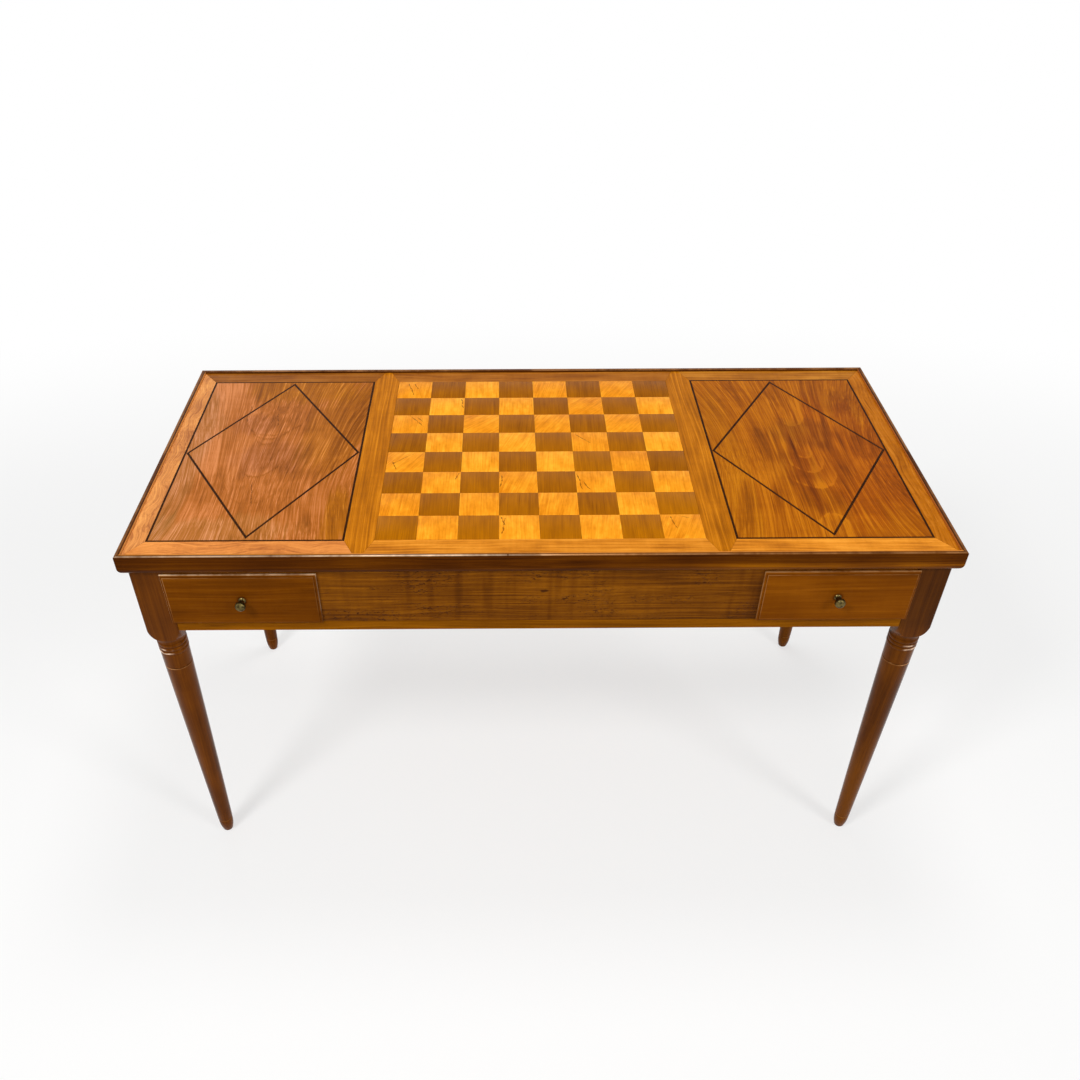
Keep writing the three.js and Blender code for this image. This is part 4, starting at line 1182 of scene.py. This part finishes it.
def drawer_finish(side, seed):
    """Smooth front. The polish is rubbed through along its outer edge and along its raised field. These
    lighter lines are also painted highlights, strongest along the top, and a darker line is painted as
    shade between the rounded edge and the raised field.
    """
    low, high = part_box(f"drawer_{side}_front")
    wood = Wood(f"drawer_{side}", "X", seed, mm(6, 60, 240))
    tone = wood.tone(9 * MM, {"line": 0.5, "streak": 0.45, "fibre": 0.3, "blotch": 0.7, "curl": 0.1})
    bright, left_wear_and_highlight, right_wear_and_highlight = DRAWER_FACTS[side]
    colour = wood.coat(tone, tinted(DRAWER_BROWN, bright), 0.2)
    from_left = wood.x - low.x
    from_right = high.x - wood.x
    from_top = high.z - wood.z
    from_bottom = wood.z - low.z
    edge = wood.math("MINIMUM", from_left, from_right)
    edge = wood.math("MINIMUM", edge, wood.math("MINIMUM", from_top, from_bottom))
    outer = wood.fade(edge, 0.5 * LIP.edge, 1.5 * LIP.edge)
    inner_off = abs(edge - LIP.line)
    inner = wood.fade(inner_off, 0.4 * LIP.line_half, LIP.line_half)
    # Lighter lines along the edge and the raised field: wear together with painted highlights of the
    # lamps on these rounded edges.
    patches = wood.front_noise(30, 1.7, 45, 3.0, 0.65)
    left = wood.spread(from_left, 4 * MM, 90 * MM, left_wear_and_highlight, 0.25)
    right = wood.spread(from_right, 4 * MM, 30 * MM, right_wear_and_highlight, 0.2)
    top = wood.fade(from_top, 1 * MM, 8 * MM, 0.75)
    strong = wood.math("MAXIMUM", wood.math("MAXIMUM", left, right), top)
    strong = strong * wood.spread(from_bottom, 0.0, 30 * MM, 0.35, 1.0)
    rub_and_highlight = wood.spread(patches, 0.34, 0.6, 0.25, 1.0) * strong
    colour = wood.mix(outer * rub_and_highlight, colour, WEAR_AND_HIGHLIGHT[f"drawer_{side}"])
    colour = wood.mix(inner * rub_and_highlight * 0.6, colour, WEAR_AND_HIGHLIGHT["raised_field_highlight"])
    # Painted shade: a darker line in the groove between the rounded edge and the raised field.
    groove = wood.spread(abs(edge - (LIP.line - 1.3 * MM)), 0.3 * MM, 0.9 * MM)
    colour = wood.darken(colour, 0.45 - groove * 0.45)
    seat_off = wood.length(wood.x - (low.x + high.x) / 2, wood.z - (low.z + high.z) / 2)
    ring = wood.fade(seat_off, 6 * MM, 11 * MM, 0.6)
    colour = wood.darken(colour, ring)
    return wood.polish(colour, tone, 0.26)


def make_drawers():
    bare = plain_wood("drawer_box", "Y", 91, BARE_WOOD, 0.6, 0.4, gloss=0.25)
    cross = plain_wood("drawer_back", "X", 92, BARE_WOOD, 0.6, 0.4, gloss=0.25)
    for seed, side in enumerate(SIDES):
        dress(f"drawer_{side}_front", drawer_finish(side, 96 + seed), 0.3 * MM)
        for part in ("side_inner", "side_outer", "bottom"):
            dress(f"drawer_{side}_{part}", bare, BOARD_EASE)
        dress(f"drawer_{side}_back", cross, BOARD_EASE)


POINT_COUNT = 6
POINTS = named_mm(gap=1.0, length=190, relief=0.6, seat_gap=0.3, ease=0.25)


def make_points(side, x_sign):
    """The floor of one half of the well, and its pointed inlays in two colours."""
    low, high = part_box(f"well_floor_{side}")
    top = high.z - POINTS.relief
    floor = plain_wood(f"well_floor_{side}", "X", 104 + x_sign, FLOOR_BROWN, 0.32, 0.3)
    name = f"well_boards_{side}"
    shell = slab(low.x, high.x, low.y, high.y, low.z, top, 0.3 * MM)
    make_piece(name, shell, floor, "frame", (f"well_floor_{side}",))
    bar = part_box("well_bar")[1].x
    end_low, end_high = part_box(f"well_end_{side}")
    wall = min(abs(end_low.x), abs(end_high.x))
    pitch = (wall - bar) / POINT_COUNT
    shades = {"light": [], "dark": []}
    for row, y_sign in FRONTS.items():
        band_low, band_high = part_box(f"well_band_{row}")
        base = (band_high.y if y_sign < 0 else band_low.y) - y_sign * POINTS.seat_gap
        for number in range(POINT_COUNT):
            near = bar + number * pitch + POINTS.gap / 2
            far = near + pitch - POINTS.gap
            tip = ((near + far) / 2, base - y_sign * POINTS.length)
            outline = [(x_sign * near, base), (x_sign * far, base), (x_sign * tip[0], tip[1])]
            if x_sign * y_sign > 0:
                outline.reverse()
            inset = POINTS.ease
            middle_x, middle_y = (sum(values) / 3 for values in zip(*outline))
            rows = [[(x, y, z) for x, y in outline] for z in (top, high.z - inset)]
            rows.append([
                (x + math.copysign(inset, middle_x - x), y + math.copysign(inset, middle_y - y), high.z)
                for x, y in outline
            ])
            parity = (number + (y_sign > 0) + (x_sign > 0)) % 2
            shades["dark" if parity else "light"].append(lofted(rows))
    for shade, shells in shades.items():
        stops = POINT_DARK if shade == "dark" else POINT_LIGHT
        finish = plain_wood(f"points_{shade}_{side}", "Y", 110 + x_sign, stops, 0.34, 0.2)
        make_piece(f"points_{shade}_{side}", merged(shells), finish, "frame")


def make_well():
    lining = plain_wood("lining", "X", 101, LINING_BROWN, 0.42, 0.3)
    cross = plain_wood("lining_cross", "Y", 102, LINING_BROWN, 0.42, 0.3)
    bare = plain_wood("runner", "Y", 103, BARE_WOOD, 0.65, 0.4, gloss=0.25)
    for row in FRONTS:
        dress(f"well_band_{row}", lining, BOARD_EASE)
    dress("well_bar", cross, 0.6 * MM)
    for side, x_sign in SIDES.items():
        make_points(side, x_sign)
        dress(f"well_end_{side}", cross, BOARD_EASE)
        dress(f"end_cover_{side}", lining, BOARD_EASE)
        for place in ("inner", "outer"):
            dress(f"runner_{side}_{place}", bare, 0.5 * MM)


def make_core():
    core = plain_wood("core", "X", 111, CORE_WOOD, 0.7, 0.4, gloss=0.2)
    dress("top_core", core, BOARD_EASE)


def baize_finish():
    graph = Graph("baize")
    wool = graph.noise(graph.scaled(graph.place, (900, 900, 900)), 3.0, 0.7)
    worn = graph.noise(graph.scaled(graph.place, (7, 7, 7)), 3.0)
    colour = graph.mix(wool, (0.02, 0.075, 0.03), (0.05, 0.15, 0.065))
    faded = graph.mix(graph.spread(worn, 0.5, 0.75, 0.0, 0.35), colour, (0.11, 0.17, 0.08))
    return graph.surface(faded, 0.95, wool, 0.4 * MM, 0.6, sheen=0.3, gloss=0.1)


def make_baize():
    low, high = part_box("baize")
    shell = slab(low.x, high.x, low.y, high.y, low.z, high.z)
    piece = make_piece("baize_cloth", shell, baize_finish(), "top", ("baize",))


bpy.context.scene.view_settings.view_transform = "Standard"
make_camera()
make_world()
make_lamps()
make_floor()
make_bands()
make_fields()
make_chessboard()
make_mouldings()
make_legs()
make_friezes()
make_knobs()
make_drawers()
make_well()
make_core()
make_baize()
